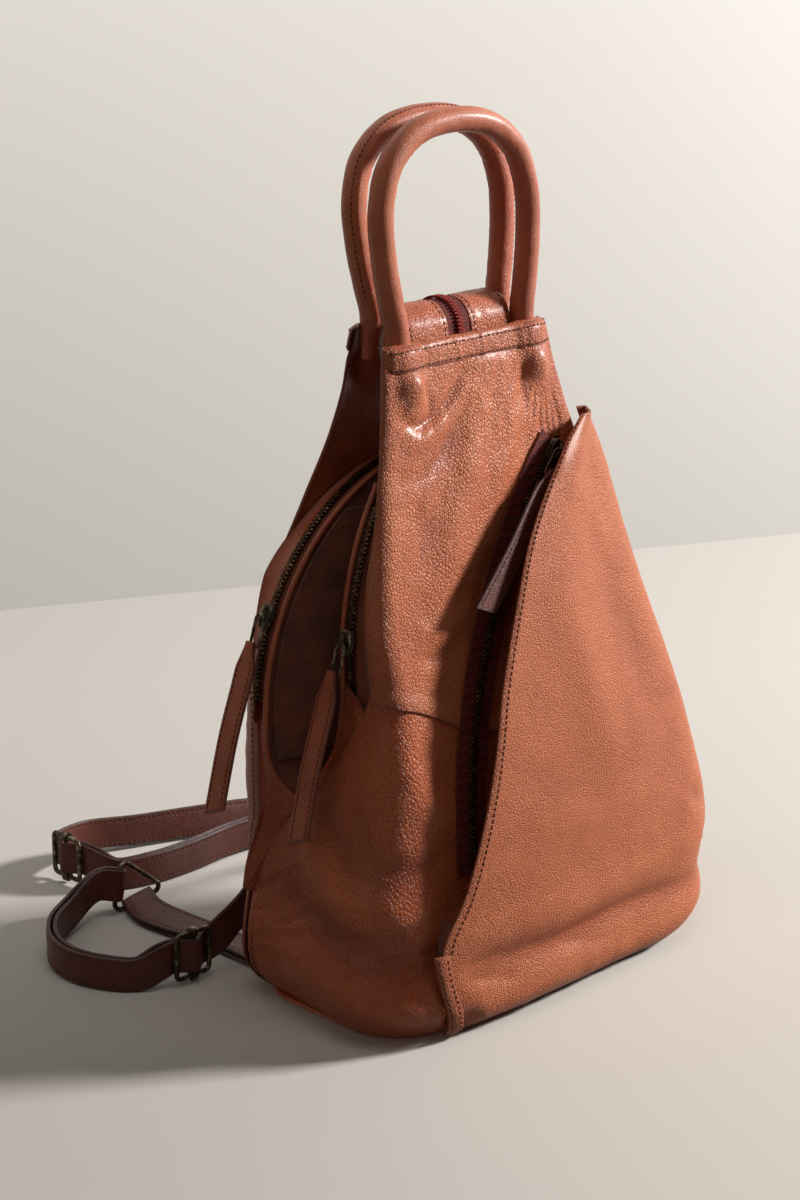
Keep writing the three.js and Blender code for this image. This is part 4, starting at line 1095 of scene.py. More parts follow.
def pocket_panel():
    p = pocket_surface(170, 150)
    q = p[..., [0, 2]]
    z = p[..., 2]
    r = 0.7 * lumps(p, (48, 48, 60), 81) + 0.22 * lumps(p, (16, 16, 18), 82)
    low = 1 - ease(z, 30, 110)
    r += 0.5 * (wrinkles(q, 74, 8, 40, 83) - 0.4) * low
    add_folds(r, q, (
        ([[-96, 42], [-60, 40], [-10, 37], [50, 39], [110, 36], [150, 40]], 7.0, -3.4),
        ([[-92, 56], [-50, 57], [0, 54], [60, 58], [130, 66]], 11.0, 2.0),
        ([[-110, 16], [-60, 14], [-10, 16], [40, 14]], 12.0, 5.0),
        ([[20, 16], [70, 13], [110, 16], [150, 18]], 10.0, 3.4),
        ([[-84, 34], [-64, 30], [-40, 26]], 3.5, -1.3),
        ([[-10, 34], [16, 28], [36, 25]], 3.5, -1.1),
        ([[20, 250], [28, 200], [40, 150], [52, 110]], 16.0, 2.0),
        ([[60, 240], [76, 190], [92, 140]], 14.0, -1.6),
        ([[40, 285], [62, 262], [74, 232]], 8.0, 0.9),
        ([[-40, 120], [0, 104], [50, 98]], 12.0, 1.0),
        ([[112, 92], [126, 80], [140, 78]], 7.0, -1.6),
    ))
    s = np.broadcast_to(np.linspace(0, 1, p.shape[1]), z.shape)
    detail = r * ease(s, 0.01, 0.08) * (1 - ease(s, 0.93, 1)) * ease(z, 2, 9) * (1 - ease(z, 285, 306))
    left_edge = -1.3 * np.exp(-s / 0.012)
    slab(
        "pocket_panel_visible", p, LEATHER, POCKET, FRONTWARD, left_edge, detail, 1.6,
        slot="pocket_leather", node="pocket_panel",
    )
    shaped = raised(p, FRONTWARD, left_edge + detail)
    n = surface_normals(shaped, FRONTWARD)
    rows = np.arange(26, p.shape[0] - 2)
    line = np.array([shaped[i, 2] * 0.3 + shaped[i, 3] * 0.7 + n[i, 3] * LEATHER / 2 for i in rows])
    sew(line, n[rows, 3])


pocket_panel()


def pocket_binding():
    """The folded tab that binds the foot of the pocket's left edge to the wrap."""
    z, k = grid((3.5, 51, 40), (-0.5, 0.5, 12))
    x = POCKET_LEFT(z) - 1 + k * 8.4
    y = FRONT_Y(z) - 6.2 - POCKET_LIFT(z) * 0.3 + 2.2 * (0.5 - k) + base_curl(z)
    p = xyz(x, y, z)
    crown = 0.9 * (1 - (2 * k) ** 2) + 0.25 * lumps(p, (7, 7, 7), 85)
    slab(
        "binding_visible", p, 2.0, POCKET, FRONTWARD, crown, None, 1.0,
        slot="pocket_leather", node="pocket_binding",
    )
    sew_columns(raised(p, FRONTWARD, crown), surface_normals(p, FRONTWARD), (2, 9), 1, -1, 1)
    # A lining strip closes the gap between the pocket's lower seam and the wrap.
    z, k = grid((3, 66, 30), (0, 1, 8))
    x = POCKET_LEFT(z) + 1.5 + 2 * k
    y = FRONT_Y(z) - 0.4 - (POCKET_LIFT(z) + 0.8) * (1 - k) + base_curl(z) * 0.7
    slab("pocket_seam_fill", xyz(x, y, z), 0.8, LINING, (-1, 0, 0), slot="pocket_leather")


pocket_binding()


def pocket_zip():
    start, end = POCKET_ARC[0] + 0.01, POCKET_ARC[1] + 0.02
    angle, k = grid((start, end, 110), (-1, 1, 11))
    face = (0, -math.cos(LEAN), math.sin(LEAN))
    p = on_pocket_arc(angle, POCKET_RADIUS, 1.9)
    p += 11 * k[..., None] * unit(p - POCKET_CENTRE - 1.9 * np.array(face))
    ripple = 0.35 * lumps(p, (14, 14, 20), 88) - 0.3 * np.exp(-((k / 0.2) ** 2))
    slab("tape_pocket", p, 0.7, RED_TAPE, face, ripple, slot="zip_tape", node="pocket_zip_tape")
    line = on_pocket_arc(np.linspace(POCKET_ARC[0], POCKET_ARC[1], 150), POCKET_RADIUS, 3.5)
    normals = np.tile(face, (len(line), 1))
    teeth("teeth_pocket", line, normals, TEETH, "metal", "pocket_zip_chain")


pocket_zip()


# ---------- sliders, bails and pulls ----------
SLIDER = dict(length=13, width=9, height=3.4, crown=2.2)
BAIL = dict(length=20, width=8, wire=1.7)
PULL = dict(length=97, width=14, thickness=3.2)


def placed(points, matrix):
    p = np.asarray(points, float)
    return p @ matrix[:3, :3].T + matrix[:3, 3]


def metal_part(name, part, matrix, body, node, **options):
    points, faces = part
    make(name, placed(points, matrix), faces, METAL, body, slot="metal", node=node, **options)


def axes(x, y, z, at):
    m = np.eye(4)
    m[:3, 0], m[:3, 1], m[:3, 2], m[:3, 3] = x, y, z, at
    return m


def prism(outline, low, high, chamfer):
    """A plate with chamfered edges. The outline is (across, along), the plate stands from low to high."""
    o = np.array(outline, float)
    inner = o * (1 - chamfer / np.maximum(np.abs(o).max(0), 1e-6))
    rings = [(inner, low), (o, low + chamfer), (o, high - chamfer), (inner, high)]
    points = np.vstack([np.column_stack([np.full(len(o), x), r]) for r, x in rings])
    return points, loop_faces(len(rings), len(o))


def tube(line, radius, first, closed=False, sides=10):
    """Points and faces of a round wire along a line."""
    line = np.asarray(line, float)
    if closed:
        t = along(line, True)
        b = np.tile(first, (len(line), 1))
    else:
        t = along(line)
        b = transported(line, np.array(first, float))
    v = carried(line, b, unit(np.cross(t, b)), round_section(radius, sides)[None])
    return v.reshape(-1, 3), loop_faces(len(line), sides, closed)


def rounded_loop(width, height, radius):
    """A rounded rectangle as a closed line of (x, y)."""
    a, b = width / 2 - radius, height / 2 - radius
    points = []
    for x, y, start in ((a, b, 0), (-a, b, math.pi / 2), (-a, -b, math.pi), (a, -b, 1.5 * math.pi)):
        turns = start + np.linspace(0, math.pi / 2, 8)
        points += [(x + radius * math.cos(t), y + radius * math.sin(t)) for t in turns]
    return np.array(points)


def slider_parts():
    length, width, height = SLIDER["length"], SLIDER["width"], SLIDER["height"]
    half, w = length / 2, width / 2
    plate = [
        (-w * 0.8, half), (w * 0.8, half), (w, half * 0.75), (w, half * 0.1), (w * 0.62, -half * 0.85),
        (w * 0.4, -half), (-w * 0.4, -half), (-w * 0.62, -half * 0.85), (-w, half * 0.1), (-w, half * 0.75),
    ]
    neck = [(x * 0.55, y * 0.8) for x, y in plate]
    bridge = [(height - 0.4, 0, 4.2), (height + 1.1, 0, 3.6), (height + 2.0, 0, 1.6), (height + 2.0, 0, -1.6)]
    bridge += [(height + 1.1, 0, -3.6), (height - 0.4, 0, -4.2)]
    lower, upper = prism(plate, 0.0, 1.2, 0.35), prism(plate, 2.2, height, 0.4)
    return join([lower, prism(neck, 1.0, 2.4, 0.2), upper, tube(spline(bridge, 5), 0.95, BACKWARD)])


def pull(label, matrix, hang):
    """A slider, its bail and the leather strip that hangs from it."""
    node = f"slider_{label}"
    metal_part(f"{node}_visible", slider_parts(), matrix, f"zip_{label}", node, smooth_below=35)
    wire, body = BAIL["wire"], f"pull_{label}"
    loop = rounded_loop(BAIL["width"] - wire, BAIL["length"] - wire, 3.0)
    loop = np.column_stack([np.zeros(len(loop)), loop[:, 0], loop[:, 1] - BAIL["length"] / 2 + 1])
    bail = tube(loop, wire / 2, (1, 0, 0), closed=True)
    metal_part(f"bail_{label}_visible", bail, hang, body, f"bail_{label}")

    long, wide, thick = PULL["length"], PULL["width"], PULL["thickness"]
    margin = 2.2
    spans = ((0, 20, 18), (22, long - 10, 24), (long - 9, long, 8))
    s = np.concatenate([np.linspace(*span) for span in spans])
    full = profile([[0, 5.5], [3, 6.5], [8, 9.5], [14, 13.4], [22, wide], [long, wide]])(s)
    thin = profile([[0, 1.25], [6, 1.2], [12, 1], [long, 1]])(s)
    flat_section = strap_section(wide, thick * 0.72, margin)
    rows = np.repeat(flat_section[None], len(s), 0).copy()
    rows[..., 0] *= (full / wide)[:, None]
    rows[..., 1] *= thin[:, None]
    curl = 1.4 * np.sin(s / long * math.pi * 1.2) * ease(s, 10, 60)
    centre = np.column_stack([2.85 + curl, 0 * s, 5 - BAIL["length"] - s])
    across = np.tile([0.0, 1.0, 0.0], (len(s), 1))
    normal = np.tile([1.0, 0.0, 0.0], (len(s), 1))
    slant = 6 * ease(s, long - 14, long)
    v = carried(centre, across, normal, rows)
    v[..., 2] += slant[:, None] * (0.5 + rows[..., 0] / wide)
    rim = np.broadcast_to(section_rim(flat_section, wide), v.shape[:2]).copy()
    rim[-2:] = 0.9
    # The pocket's pull takes the leather darkened as painted shade.
    material = SHADED_RED_PULL if label == "pocket" else TAB
    sweep(f"{body}_visible", placed(v, hang), material, body=body, rim=rim, slot="tab_leather", node=body)
    keep = (s > 9) & (s < long - 2)
    for side in (-1, 1):
        for face in (-1, 1):
            inset = side * (full / 2 - margin)
            lift = face * thin * thick * 0.36 * 0.93
            line = centre + across * inset[:, None] + normal * lift[:, None]
            line[:, 2] += slant * (0.5 + inset / wide)
            sew(placed(line[keep], hang), (normal[keep] * face) @ hang[:3, :3].T, body, 3.0, 0.06)


def swung(frame_matrix, degrees):
    a = math.radians(degrees)
    turn = np.array([[math.cos(a), 0, math.sin(a)], [0, 1, 0], [-math.sin(a), 0, math.cos(a)]])
    local = np.eye(4)
    local[:3, :3] = turn
    local[:3, 3] = (SLIDER["height"] + SLIDER["crown"], 0, 0)
    return frame_matrix @ local


for pouch, zipper in (("back", ZIP_BACK), ("front", ZIP_FRONT)):
    sign = np.sign(zipper["width"])
    middle = zipper["y"] + (zipper["width"] + sign * (PIPING_RADIUS + GAP)) / 2
    for label, side in (("left", -1), ("right", 1)):
        a = math.radians(zipper["rest"])
        out = np.array([side * math.cos(a), 0, math.sin(a)])
        up = np.array([-side * math.sin(a), 0, math.cos(a)])
        at = on_zip(zipper, side, zipper["rest"], middle, CHAIN_OFF + 1.3)
        matrix = axes(out, np.cross(up, out), up, at)
        pull(f"{pouch}_{label}", matrix, swung(matrix, zipper["swing"]))

at = on_pocket_arc(POCKET_ARC[0] + 0.03, POCKET_RADIUS, 4.9)
up = unit(on_pocket_arc(POCKET_ARC[0] + 0.02, POCKET_RADIUS, 4.9) - at)
out = np.array([0, -math.cos(LEAN), math.sin(LEAN)])
matrix = axes(out, np.cross(up, out), up, at)
pull("pocket", matrix, swung(matrix, -1))

TOP_SLIDER_Z = 278
lean = math.atan((BACK_Y(320) - BACK_Y(270)) / 50)
matrix = axes(
    (0, math.cos(lean), -math.sin(lean)), (-1, 0, 0), (0, math.sin(lean), math.cos(lean)),
    (0, BACK_Y(TOP_SLIDER_Z) + 7.4, TOP_SLIDER_Z),
)
pull("top", matrix, swung(matrix, 0))


# ---------- handles ----------
def handle(label, pivot_y, pivot_z, lean_share, seam_side):
    """A rolled leather handle whose two ends run down behind the hem."""
    rise = HANDLE_RISE[label]
    half = [[49, -24], [49, -10], [49, 0], [52.5, 0.167 * rise], [56, 0.389 * rise], [56, 0.611 * rise]]
    half += [[48, 0.815 * rise], [29, 0.954 * rise], [0, rise]]
    points = [(-x, h) for x, h in half[:-1]] + [tuple(p) for p in half[::-1]]
    place = [(x - 4 * max(h, 0) / rise, pivot_y + lean_share * max(h, 0), pivot_z + h) for x, h in points]
    line = resample(spline(place, 16), 260)
    t = along(line)
    plane = unit(np.array([0, 1, -lean_share]))
    outward = unit(np.cross(plane, t))
    centre = np.array([-2, pivot_y, pivot_z + 50])
    outward *= np.sign(((line - centre) * outward).sum(-1))[:, None]
    side = unit(np.cross(t, outward))
    side *= np.sign(side @ plane)[:, None]
    sides = 36
    bend = np.linalg.norm(np.gradient(t, axis=0), axis=1)
    bend = bend / bend.max()
    s_grid, a_grid = mesh_grid(lengths(line), np.arange(sides) * 2 * math.pi / sides)
    cells = xyz(s_grid, 9 * np.cos(a_grid), 9 * np.sin(a_grid))
    inside = ease(-np.cos(a_grid), -0.1, 0.9)
    wrinkle = (1 - 2.4 * np.abs(lumps(cells, (3.4, 16, 16), 91))).clip(0, 1)
    relief = 0.42 * (wrinkle - 0.3) * inside * (0.35 + 0.65 * bend[:, None])
    relief += 0.16 * lumps(cells, (9, 9, 9), 92)
    seam = math.radians(52) * seam_side
    gap = np.abs((a_grid - seam + math.pi) % (2 * math.pi) - math.pi) * HANDLE_RADIUS
    relief += -0.55 * np.exp(-((gap / 0.5) ** 2)) + 0.22 * np.exp(-(((gap - 1.3) / 0.9) ** 2))
    foot = 1 - ease(line[:, 2], pivot_z - 20, pivot_z - 3)
    radius = HANDLE_RADIUS - 0.15 + relief
    section = round_section(1, sides)[None] * radius[..., None]
    section[..., 1] *= 1 - 0.35 * foot[:, None]
    v = carried(line, outward, side, section)
    body = f"handle_{label}"
    # The wrinkle and seam relief also goes to the 'relief' attribute: painted highlight on the wrinkles,
    # painted shade in the seam groove.
    piece = sweep(f"{body}_visible", v, HANDLE, body=None, relief=1.6 * relief, slot="shell_leather")
    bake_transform(piece)
    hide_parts(body, f"handle_core_{label}")
    direction = outward * math.cos(seam + 0.32) + side * math.sin(seam + 0.32)
    above = line[:, 2] > pivot_z + 9
    sew(line[above] + direction[above] * (HANDLE_RADIUS + 0.02), direction[above], body, 3.2, 0.05)


handle("front", 9, HEM_TOP_FRONT + 7.6, 0.03, 1)
handle("back", 27.5, HEM_TOP_BACK + 7.6, 0.06, -1)


# ---------- top strap and zip ----------
TOP_ROUTE = [[9.2, 350], [9.4, 362], [12, 373], [19, 380], [28.5, 380.5], [36.6, 376], [39.4, 367]]
TOP_ROUTE += [[BACK_Y(z) + 4.4, z] for z in (355, 340, 320, 300, 280, 262)]
TOP_STRAP_INNER, TOP_STRAP_OUTER = 9, 40


def top_strap():
    route = resample(spline(TOP_ROUTE, 14), 170)
    t = along(route)
    n2 = np.stack([-t[:, 1], t[:, 0]], -1)
    normal = np.column_stack([0 * n2[:, 0], n2])
    normal *= np.sign(normal[60] @ np.array([0, 0.2, 1]))
    for label, side in (("left", -1), ("right", 1)):
        x = side * np.linspace(TOP_STRAP_INNER, TOP_STRAP_OUTER, 26)
        i, j = mesh_grid(np.arange(len(route)), np.arange(len(x)))
        p = np.stack([x[j], route[i, 0], route[i, 1]], -1)
        inner = np.abs(p[..., 0]) - TOP_STRAP_INNER
        outer = TOP_STRAP_OUTER - np.abs(p[..., 0])
        lift = 0.35 * lumps(p, (9, 9, 9), 95) + 0.15 * lumps(p, (4, 4, 4), 96)
        lift += 0.35 * (ease(inner, 0, 1.4) + ease(outer, 0, 1.4)) - 0.5
        lift -= 0.3 * (np.exp(-(((inner - 2.6) / 0.7) ** 2)) + np.exp(-(((outer - 2.4) / 0.7) ** 2)))
        facing = normal[len(route) // 2]
        node = f"top_strap_{label}"
        shell(f"{node}_visible", p, LEATHER, PANEL, facing, lift, None, 1.2, node=node)
        shaped = raised(p, facing, lift)
        sew_columns(shaped, surface_normals(shaped, facing), (2, 23), 3, -3, LEATHER / 2)
    x = np.linspace(-8.5, 8.5, 11)
    i, j = mesh_grid(np.arange(len(route)), np.arange(len(x)))
    p = np.stack([x[j], route[i, 0], route[i, 1]], -1)
    slab("tape_top", p, 0.7, RED_TAPE, normal[len(route) // 2], slot="zip_tape", node="top_zip_tape")
    line = np.column_stack([0 * route[:, 0], route]) + normal * 1.5
    teeth("teeth_top", line, normal, RED_TEETH, "zip_tape", "top_zip_chain", 5.2, 2.0)


top_strap()


# ---------- shoulder straps ----------
ON_EDGE = STRAP_WIDTH / 2 + 0.4
BUCKLE = dict(length=27, height=29, wire=3, z=17.2, corner=4)
RING = dict(side=40, wire=3, corner=5, z=15.4)
BAR = dict(radius=1.5, collar=3.2, width=4)
WEAVE = STRAP_THICKNESS / 2 + BUCKLE["wire"] / 2 + 0.35
TURN = RING["wire"] / 2 + STRAP_THICKNESS / 2 + 0.8
LAYERS = STRAP_THICKNESS + 1.4
STRAP_TOP = 252  # height of the straps' upper ends
BLEND_Z = 0.017  # height in metres of the points where a strap passes from one body to the next
STRAP_SIDE, TAB_SIDE = math.radians(170), math.radians(290)
STRAPS = {
    "left": dict(
        top=-24.5,
        down=[
            [-27, 61, 225], [-30, 70, 180], [-38, 79, 130], [-52, 84, 88],
            [-70, 85, 58], [-92, 84.5, 37], [-110, 84, 27],
        ],
        buckle=((-137, 84), math.pi),
        loop=[[-168, 95], [-181, 111], [-187, 132], [-183, 154], [-168, 174], [-146, 187]],
        inside=-1,
        ring=((-96, 186), math.radians(-20)),
        root=(-93, 74),
        near=((-110, 84), (-121, 84)),
        far=((-150, 88), (-150, 112)),
    ),
    "right": dict(
        top=24.5,
        down=[
            [27, 61, 225], [34, 76, 170], [47, 101, 108], [62, 134, 52], [74, 168, 18],
            [70, 206, 12], [46, 232, 11], [10, 248, 11], [-30, 262, 12], [-66, 272, 15],
        ],
        buckle=((-97, 248), -math.pi / 2),
        loop=[[-84, 217], [-62, 208], [-30, 206], [4, 208], [36, 204], [58, 194]],
        inside=1,
        ring=((98, 176), math.radians(-15)),
        root=(93, 74),
        near=((-70, 270), (-92, 262)),
        far=((-97, 234), (-80, 214)),
    ),
}


def standing(place, z):
    """Axes of a thing that stands on the floor: x along its heading, z up."""
    (x, y), heading = place
    c, s = math.cos(heading), math.sin(heading)
    return axes((c, s, 0), (-s, c, 0), (0, 0, 1), (x, y, z))


def ring_side(matrix, angle):
    """The middle of a ring's side, and the directions inward, along the side and square to the ring."""
    reach = RING["side"] / (2 * math.sqrt(3)) - RING["wire"] / 2
    outward = np.array([math.cos(angle), 0, math.sin(angle)])
    ahead = np.array([-math.sin(angle), 0, math.cos(angle)])
    turn = matrix[:3, :3]
    return placed(outward * reach, matrix), -turn @ outward, turn @ ahead, turn @ np.array([0.0, 1, 0])


def turn_round(middle, start, by, across):
    """Stations of a strap that turns half round a wire."""
    turns = np.linspace(0, math.pi, 7)
    return [(middle + start * TURN * math.cos(a) + by * TURN * math.sin(a), across) for a in turns]


def strap_line(stations, spacing=2.6):
    """A strap's middle line and the directions across it, through stations."""
    p = np.array([s[0] for s in stations], float)
    w = np.array([s[1] for s in stations], float)
    per = 12
    line = spline(p, per)
    share = np.arange(len(line)) / per
    k = np.minimum(share.astype(int), len(w) - 2)
    f = (share - k)[:, None]
    across = w[k] * (1 - f) + w[k + 1] * f
    total = lengths(line)[-1]
    at = np.linspace(0, total, int(total / spacing))
    across = sample(line, at, across)
    line = sample(line, at)
    t = along(line)
    return line, unit(across - t * (across * t).sum(-1, keepdims=True))


STRAP_SECTION = strap_section(STRAP_WIDTH - 0.4, STRAP_THICKNESS - 0.1)
STRAP_RIM = section_rim(STRAP_SECTION, STRAP_WIDTH - 0.4)


def strap_piece(name, line, across, blend=None, node=None):
    """A length of strap that rides on the bag, or, when `blend` is given, rides on no body and has its
    placing baked into its points.
    """
    normal = unit(np.cross(across, along(line)))
    wave = 0.25 * lumps(line, (20, 20, 20), 97)
    section = np.repeat(STRAP_SECTION[None], len(line), 0).copy()
    section[..., 0] *= 1 + 0.01 * wave[:, None]
    v = carried(line, across, normal, section)
    rim = np.broadcast_to(STRAP_RIM, v.shape[:2])
    piece = sweep(name, v, STRAP, rim=rim, body=None if blend else "bag", slot="strap_leather")
    if blend:
        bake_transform(piece)
    if node:
        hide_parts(node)


def strap_stitches(line, across, keep):
    """Stitches along both edges and both faces of a strap, in each run of points that is kept."""
    normal = unit(np.cross(across, along(line)))
    inset, surface = STRAP_WIDTH / 2 - 2.6, STRAP_THICKNESS / 2 * 0.88
    chosen = np.flatnonzero(keep)
    runs = np.split(chosen, np.flatnonzero(np.diff(chosen) > 1) + 1)
    for side in (-1, 1):
        for face in (-1, 1):
            row = line + across * side * inset + normal * face * surface
            for run in runs:
                if len(run) > 3:
                    sew(row[run], normal[run] * face, lift=0.05)


def buckle_bar():
    """The buckle's middle bar, with a collar at each end that slides on the frame."""
    rail = (BUCKLE["height"] - BUCKLE["wire"]) / 2
    r, w = BAR["collar"], BAR["width"] / 2
    section = [(r - 1.1, -w), (r - 0.3, -w), (r, 0.4 - w), (r, w - 0.4), (r - 0.3, w), (r - 1.1, w)]
    turns = np.arange(16) * 2 * math.pi / 16
    parts = []
    for end in (-1, 1):
        points = [[x, r * math.cos(a), end * rail + r * math.sin(a)] for r, x in section for a in turns]
        parts.append((np.array(points), loop_faces(len(section), len(turns), closed=True)))
    rod = np.array([[0, 0, z] for z in np.linspace(-rail + 2.6, rail - 2.6, 6)])
    parts.append(tube(rod, BAR["radius"], (1, 0, 0)))
    return join(parts)


def triangle_loop(side, radius, turn):
    """A triangle with rounded corners as a closed line of (x, y), turned by an angle."""
    corner = side / math.sqrt(3) - 2 * radius
    points = []
    for k in range(3):
        a = math.pi / 2 + k * 2 * math.pi / 3
        x, y = corner * math.cos(a), corner * math.sin(a)
        turns = np.linspace(a - math.pi / 3, a + math.pi / 3, 9)
        points += [(x + radius * math.cos(q), y + radius * math.sin(q)) for q in turns]
    p = []
    for k in range(len(points)):
        a, b = np.array(points[k]), np.array(points[(k + 1) % len(points)])
        parts = max(1, int(np.linalg.norm(b - a) / 3))
        p += [a + (b - a) * f / parts for f in range(parts)]
    c, s = math.cos(turn), math.sin(turn)
    return np.array(p) @ np.array([[c, s], [-s, c]])


def wire_loop(loop, wire):
    """Points and faces of a closed wire that stands upright."""
    line = np.column_stack([loop[:, 0], 0 * loop[:, 0], loop[:, 1]])
    return tube(line, wire / 2, BACKWARD, closed=True, sides=14)


for label, side in (("left", -1), ("right", 1)):
    spec = STRAPS[label]
    buckle_axes = standing(spec["buckle"], BUCKLE["z"])
    ring_axes = standing(spec["ring"], RING["z"])
    inside = spec["inside"]
    wire = BUCKLE["wire"]
    loop = rounded_loop(BUCKLE["length"] - wire, BUCKLE["height"] - wire, BUCKLE["corner"] - wire / 2 + 0.6)
    buckle, ring = f"buckle_{label}", f"ring_{label}"
    metal_part(f"{buckle}_visible", wire_loop(loop, wire), buckle_axes, buckle, f"buckle_frame_{label}")
    node = f"buckle_bar_{label}"
    metal_part(f"bar_{label}_visible", buckle_bar(), buckle_axes, buckle, node, smooth_below=35)
    side_length, turn = RING["side"] - math.sqrt(3) * RING["wire"], STRAP_SIDE - 5 * math.pi / 6
    loop = triangle_loop(side_length, RING["corner"] - 1.2, turn)
    metal_part(f"{ring}_visible", wire_loop(loop, RING["wire"]), ring_axes, ring, ring)

    middle, inward, ahead, face = ring_side(ring_axes, STRAP_SIDE)
    across = ahead * np.sign(ahead[2])
    middle = middle + across * 1.2
    level = np.array([float(side), 0, 0])

    def in_buckle(points):
        return [(placed(np.array([x, inside * y, z]), buckle_axes), UP) for x, y, z in points]

    def offset_loop(gap):
        q = np.array(spec["loop"], float)
        out = []
        for i in range(len(q)):
            d = unit(q[min(i + 1, len(q) - 1)] - q[max(i - 1, 0)])
            lift = ON_EDGE + 3 * (i / (len(q) - 1)) ** 2
            out.append((np.array([q[i, 0] - inside * gap * d[1], q[i, 1] + inside * gap * d[0], lift]), UP))
        return out

    towards = face * inside

    def beside(k):
        return (middle - inward * 12 + towards * k * LAYERS / 2, across)

    def over_bar(x):
        return WEAVE * 1.15 * max(-1, min(1, (abs(x) - 5.2) / 5.2))

    passing = in_buckle([(x, over_bar(x), 0) for x in (-15, -10.5, -5.2, 0, 5.2, 10.5, 15)])
    near_part = [(np.array([spec["top"], BACK_Y(STRAP_TOP) + 4.4, STRAP_TOP]), level)]
    for i, p in enumerate(spec["down"]):
        upright = ((i + 0.5) / len(spec["down"])) ** 2
        near_part.append((np.array(p, float), level * (1 - upright) + UP * upright))
    tucked = in_buckle([[16, WEAVE + LAYERS + 0.6, 0], [3, WEAVE + 2, 0]])
    far_part = [*offset_loop(0), beside(-1), *turn_round(middle, -towards, inward, across)]
    far_part += [beside(1), *offset_loop(LAYERS)[::-1], *tucked]
    line, cross = strap_line([*near_part, *passing, *far_part])
    to_centre = np.linalg.norm(line - buckle_axes[:3, 3], axis=1)
    cut = np.argmin(np.where(lengths(line) < lengths(line)[-1] * 0.62, to_centre, 1e9))

    def blended(first, second, ends):
        return first, second, *((x * MM, y * MM, BLEND_Z) for x, y in ends)

    upper = blended("bag", buckle, spec["near"])
    strap_piece(f"strap_{label}_upper", line[:cut + 1], cross[:cut + 1], upper, f"strap_{label}")
    strap_piece(f"strap_{label}_lower", line[cut:], cross[cut:], blended(buckle, "bag", spec["far"]))
    strap_stitches(line, cross, to_centre > 34)

    middle, inward, ahead, face = ring_side(ring_axes, TAB_SIDE)
    tab_across = ahead * np.sign(ahead[0])
    flat = np.array([1.0, 0, 0])
    root = spec["root"]

    def layer(z, lift):
        reach = 2.2 if z > 4 else -2.2
        return [
            (np.array([root[0], root[1], z]), flat),
            (np.array([root[0], root[1] + 30, z + lift]), flat),
            (middle - face * 22 + inward * reach, tab_across),
        ]

    round_wire = turn_round(middle, -inward, face, tab_across)
    line, cross = strap_line([*layer(2, 0.1), *round_wire, *layer(5.4, 0.5)[::-1]])
    strap_piece(f"tab_{label}_visible", line, cross, node=f"ring_tab_{label}")
    strap_stitches(line, cross, np.linalg.norm(line - middle, axis=1) > 12)


# ---------- stitches ----------
for body, parts in SEWN.items():
    make(f"stitches_{body}", *join(parts), THREAD, body, smooth_below=60)


# ---------- floor, wall, light and camera ----------
def plain(name, colour):
    """Matt paint with a faint change of tone."""
    n = Nodes(name)
    grain = n.noise(300, 3.0, 0.6)
    tone = n.noise(1.2, 2.0, 0.5)
    n.set(Base_Color=n.mix(n.ramp(tone, 0.3, 0.7), darker(colour, 0.97), colour))
    n.set(Roughness=0.8, Normal=n.bump(grain, 0.03, 0.0005))
    return n


def one_sided(nodes):
    """Lets light and sight pass the back of the backdrop."""
    tree = nodes.tree
    clear = tree.nodes.new("ShaderNodeBsdfTransparent")
    behind = tree.nodes.new("ShaderNodeNewGeometry").outputs["Backfacing"]
    choose = tree.nodes.new("ShaderNodeMixShader")
    nodes.put(choose.inputs[0], behind)
    nodes.put(choose.inputs[1], nodes.shader.outputs[0])
    nodes.put(choose.inputs[2], clear.outputs[0])
    output = next(n for n in tree.nodes if n.type == "OUTPUT_MATERIAL")
    nodes.put(output.inputs["Surface"], choose.outputs[0])
    return nodes.material


def plane(name, corners, material):
    mesh = bpy.data.meshes.new(name)
    mesh.from_pydata(corners, [], [[0, 1, 2, 3]])
    mesh.materials.append(material)
    item = bpy.data.objects.new(name, mesh)
    bpy.context.scene.collection.objects.link(item)
    item.visible_diffuse = False


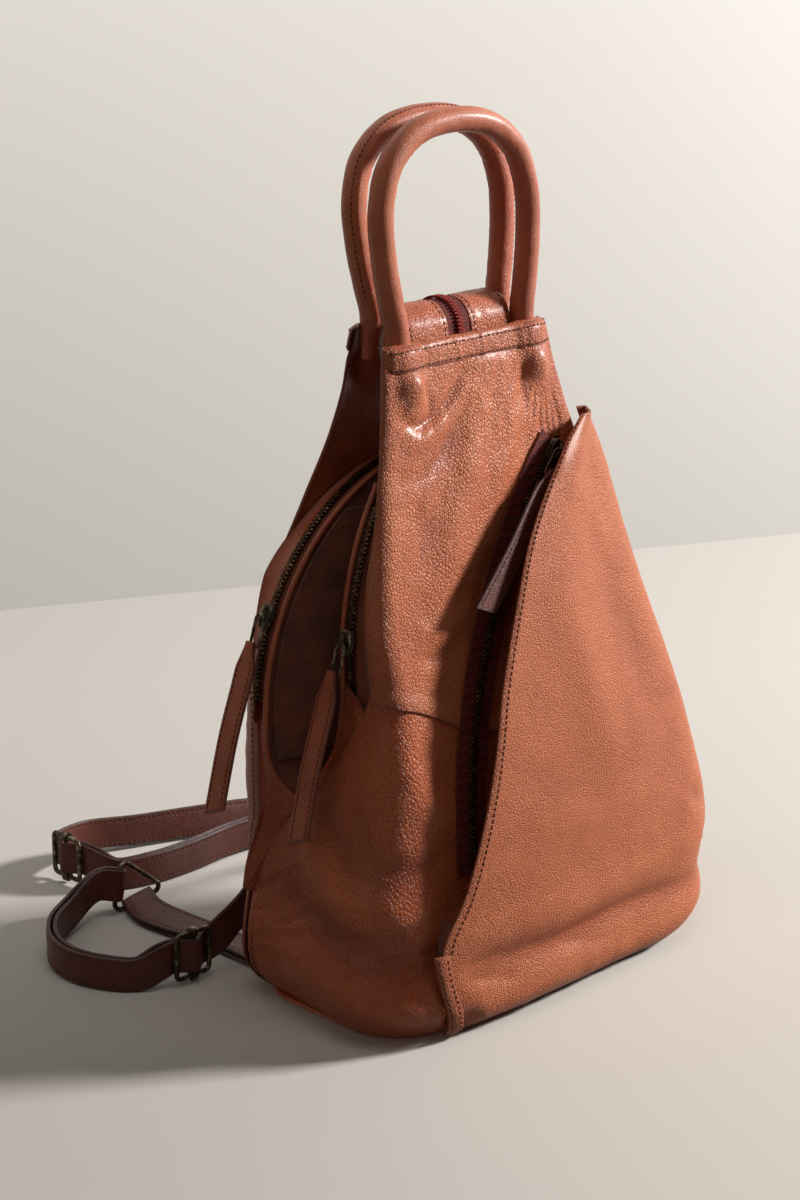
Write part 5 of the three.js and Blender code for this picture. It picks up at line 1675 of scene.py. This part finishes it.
FLOOR = 9.0
floor_corners = [(-FLOOR, -FLOOR, 0), (FLOOR, -FLOOR, 0), (FLOOR, FLOOR, 0), (-FLOOR, FLOOR, 0)]
plane("floor", floor_corners, plain("floor_paint", srgb(216, 210, 202)).material)
WALL_AT = Vector((0.54, 0.575, 0))
WALL_ALONG = Vector((0.8974, -0.4411, 0))
WALL_HALF, WALL_HEIGHT = 5, 4
left_end, right_end = ((WALL_AT + WALL_ALONG * WALL_HALF * sign)[:2] for sign in (-1, 1))
wall_corners = [(*left_end, 0), (*right_end, 0), (*right_end, WALL_HEIGHT), (*left_end, WALL_HEIGHT)]
plane("wall", wall_corners, one_sided(plain("wall_paint", srgb(233, 229, 222))))


def aim(item, position, target):
    item.location = position
    item.rotation_mode = "QUATERNION"
    item.rotation_quaternion = (Vector(target) - Vector(position)).to_track_quat("-Z", "Y")
    bpy.context.scene.collection.objects.link(item)


def area_light(name, position, target, size, watts, colour):
    data = bpy.data.lights.new(name, "AREA")
    data.shape = "RECTANGLE"
    data.size, data.size_y = size
    data.energy = watts
    data.color = colour
    aim(bpy.data.objects.new(name, data), position, target)


KEY_DIRECTION = Vector((0.785, -0.453, 0.423))
TARGET = Vector((0.0, 0.0, 0.2))
area_light("key", TARGET + KEY_DIRECTION * 2.4, TARGET, (0.36, 0.36), 90, (1.0, 0.985, 0.965))
area_light("overhead", (-0.3, -0.5, 2.8), (-0.2, -0.3, 0), (1.6, 1.6), 8, (1.0, 0.99, 0.98))
area_light("side_fill", (-2.1, -0.5, 1.3), TARGET, (1.4, 1.4), 3.4, (1.0, 0.9, 0.8))
area_light("wall_wash", (-0.95, 0.55, 1.7), (-0.5, 1.45, 1.6), (2.8, 1.6), 25, (1.0, 0.985, 0.965))

world = bpy.data.worlds.new("studio")
bpy.context.scene.world = world
world.use_nodes = True
background = world.node_tree.nodes["Background"]
background.inputs["Color"].default_value = (1.0, 0.93, 0.86, 1.0)
background.inputs["Strength"].default_value = 0.06

camera_data = bpy.data.cameras.new("camera")
camera_data.lens = 82.8
camera_data.sensor_width = 36
camera = bpy.data.objects.new("camera", camera_data)
aim(camera, (-1.0672, -1.0118, 0.664), (0.01472, 0.07011, 0.19622))
bpy.context.scene.camera = camera
bpy.context.scene.view_settings.view_transform = "Standard"
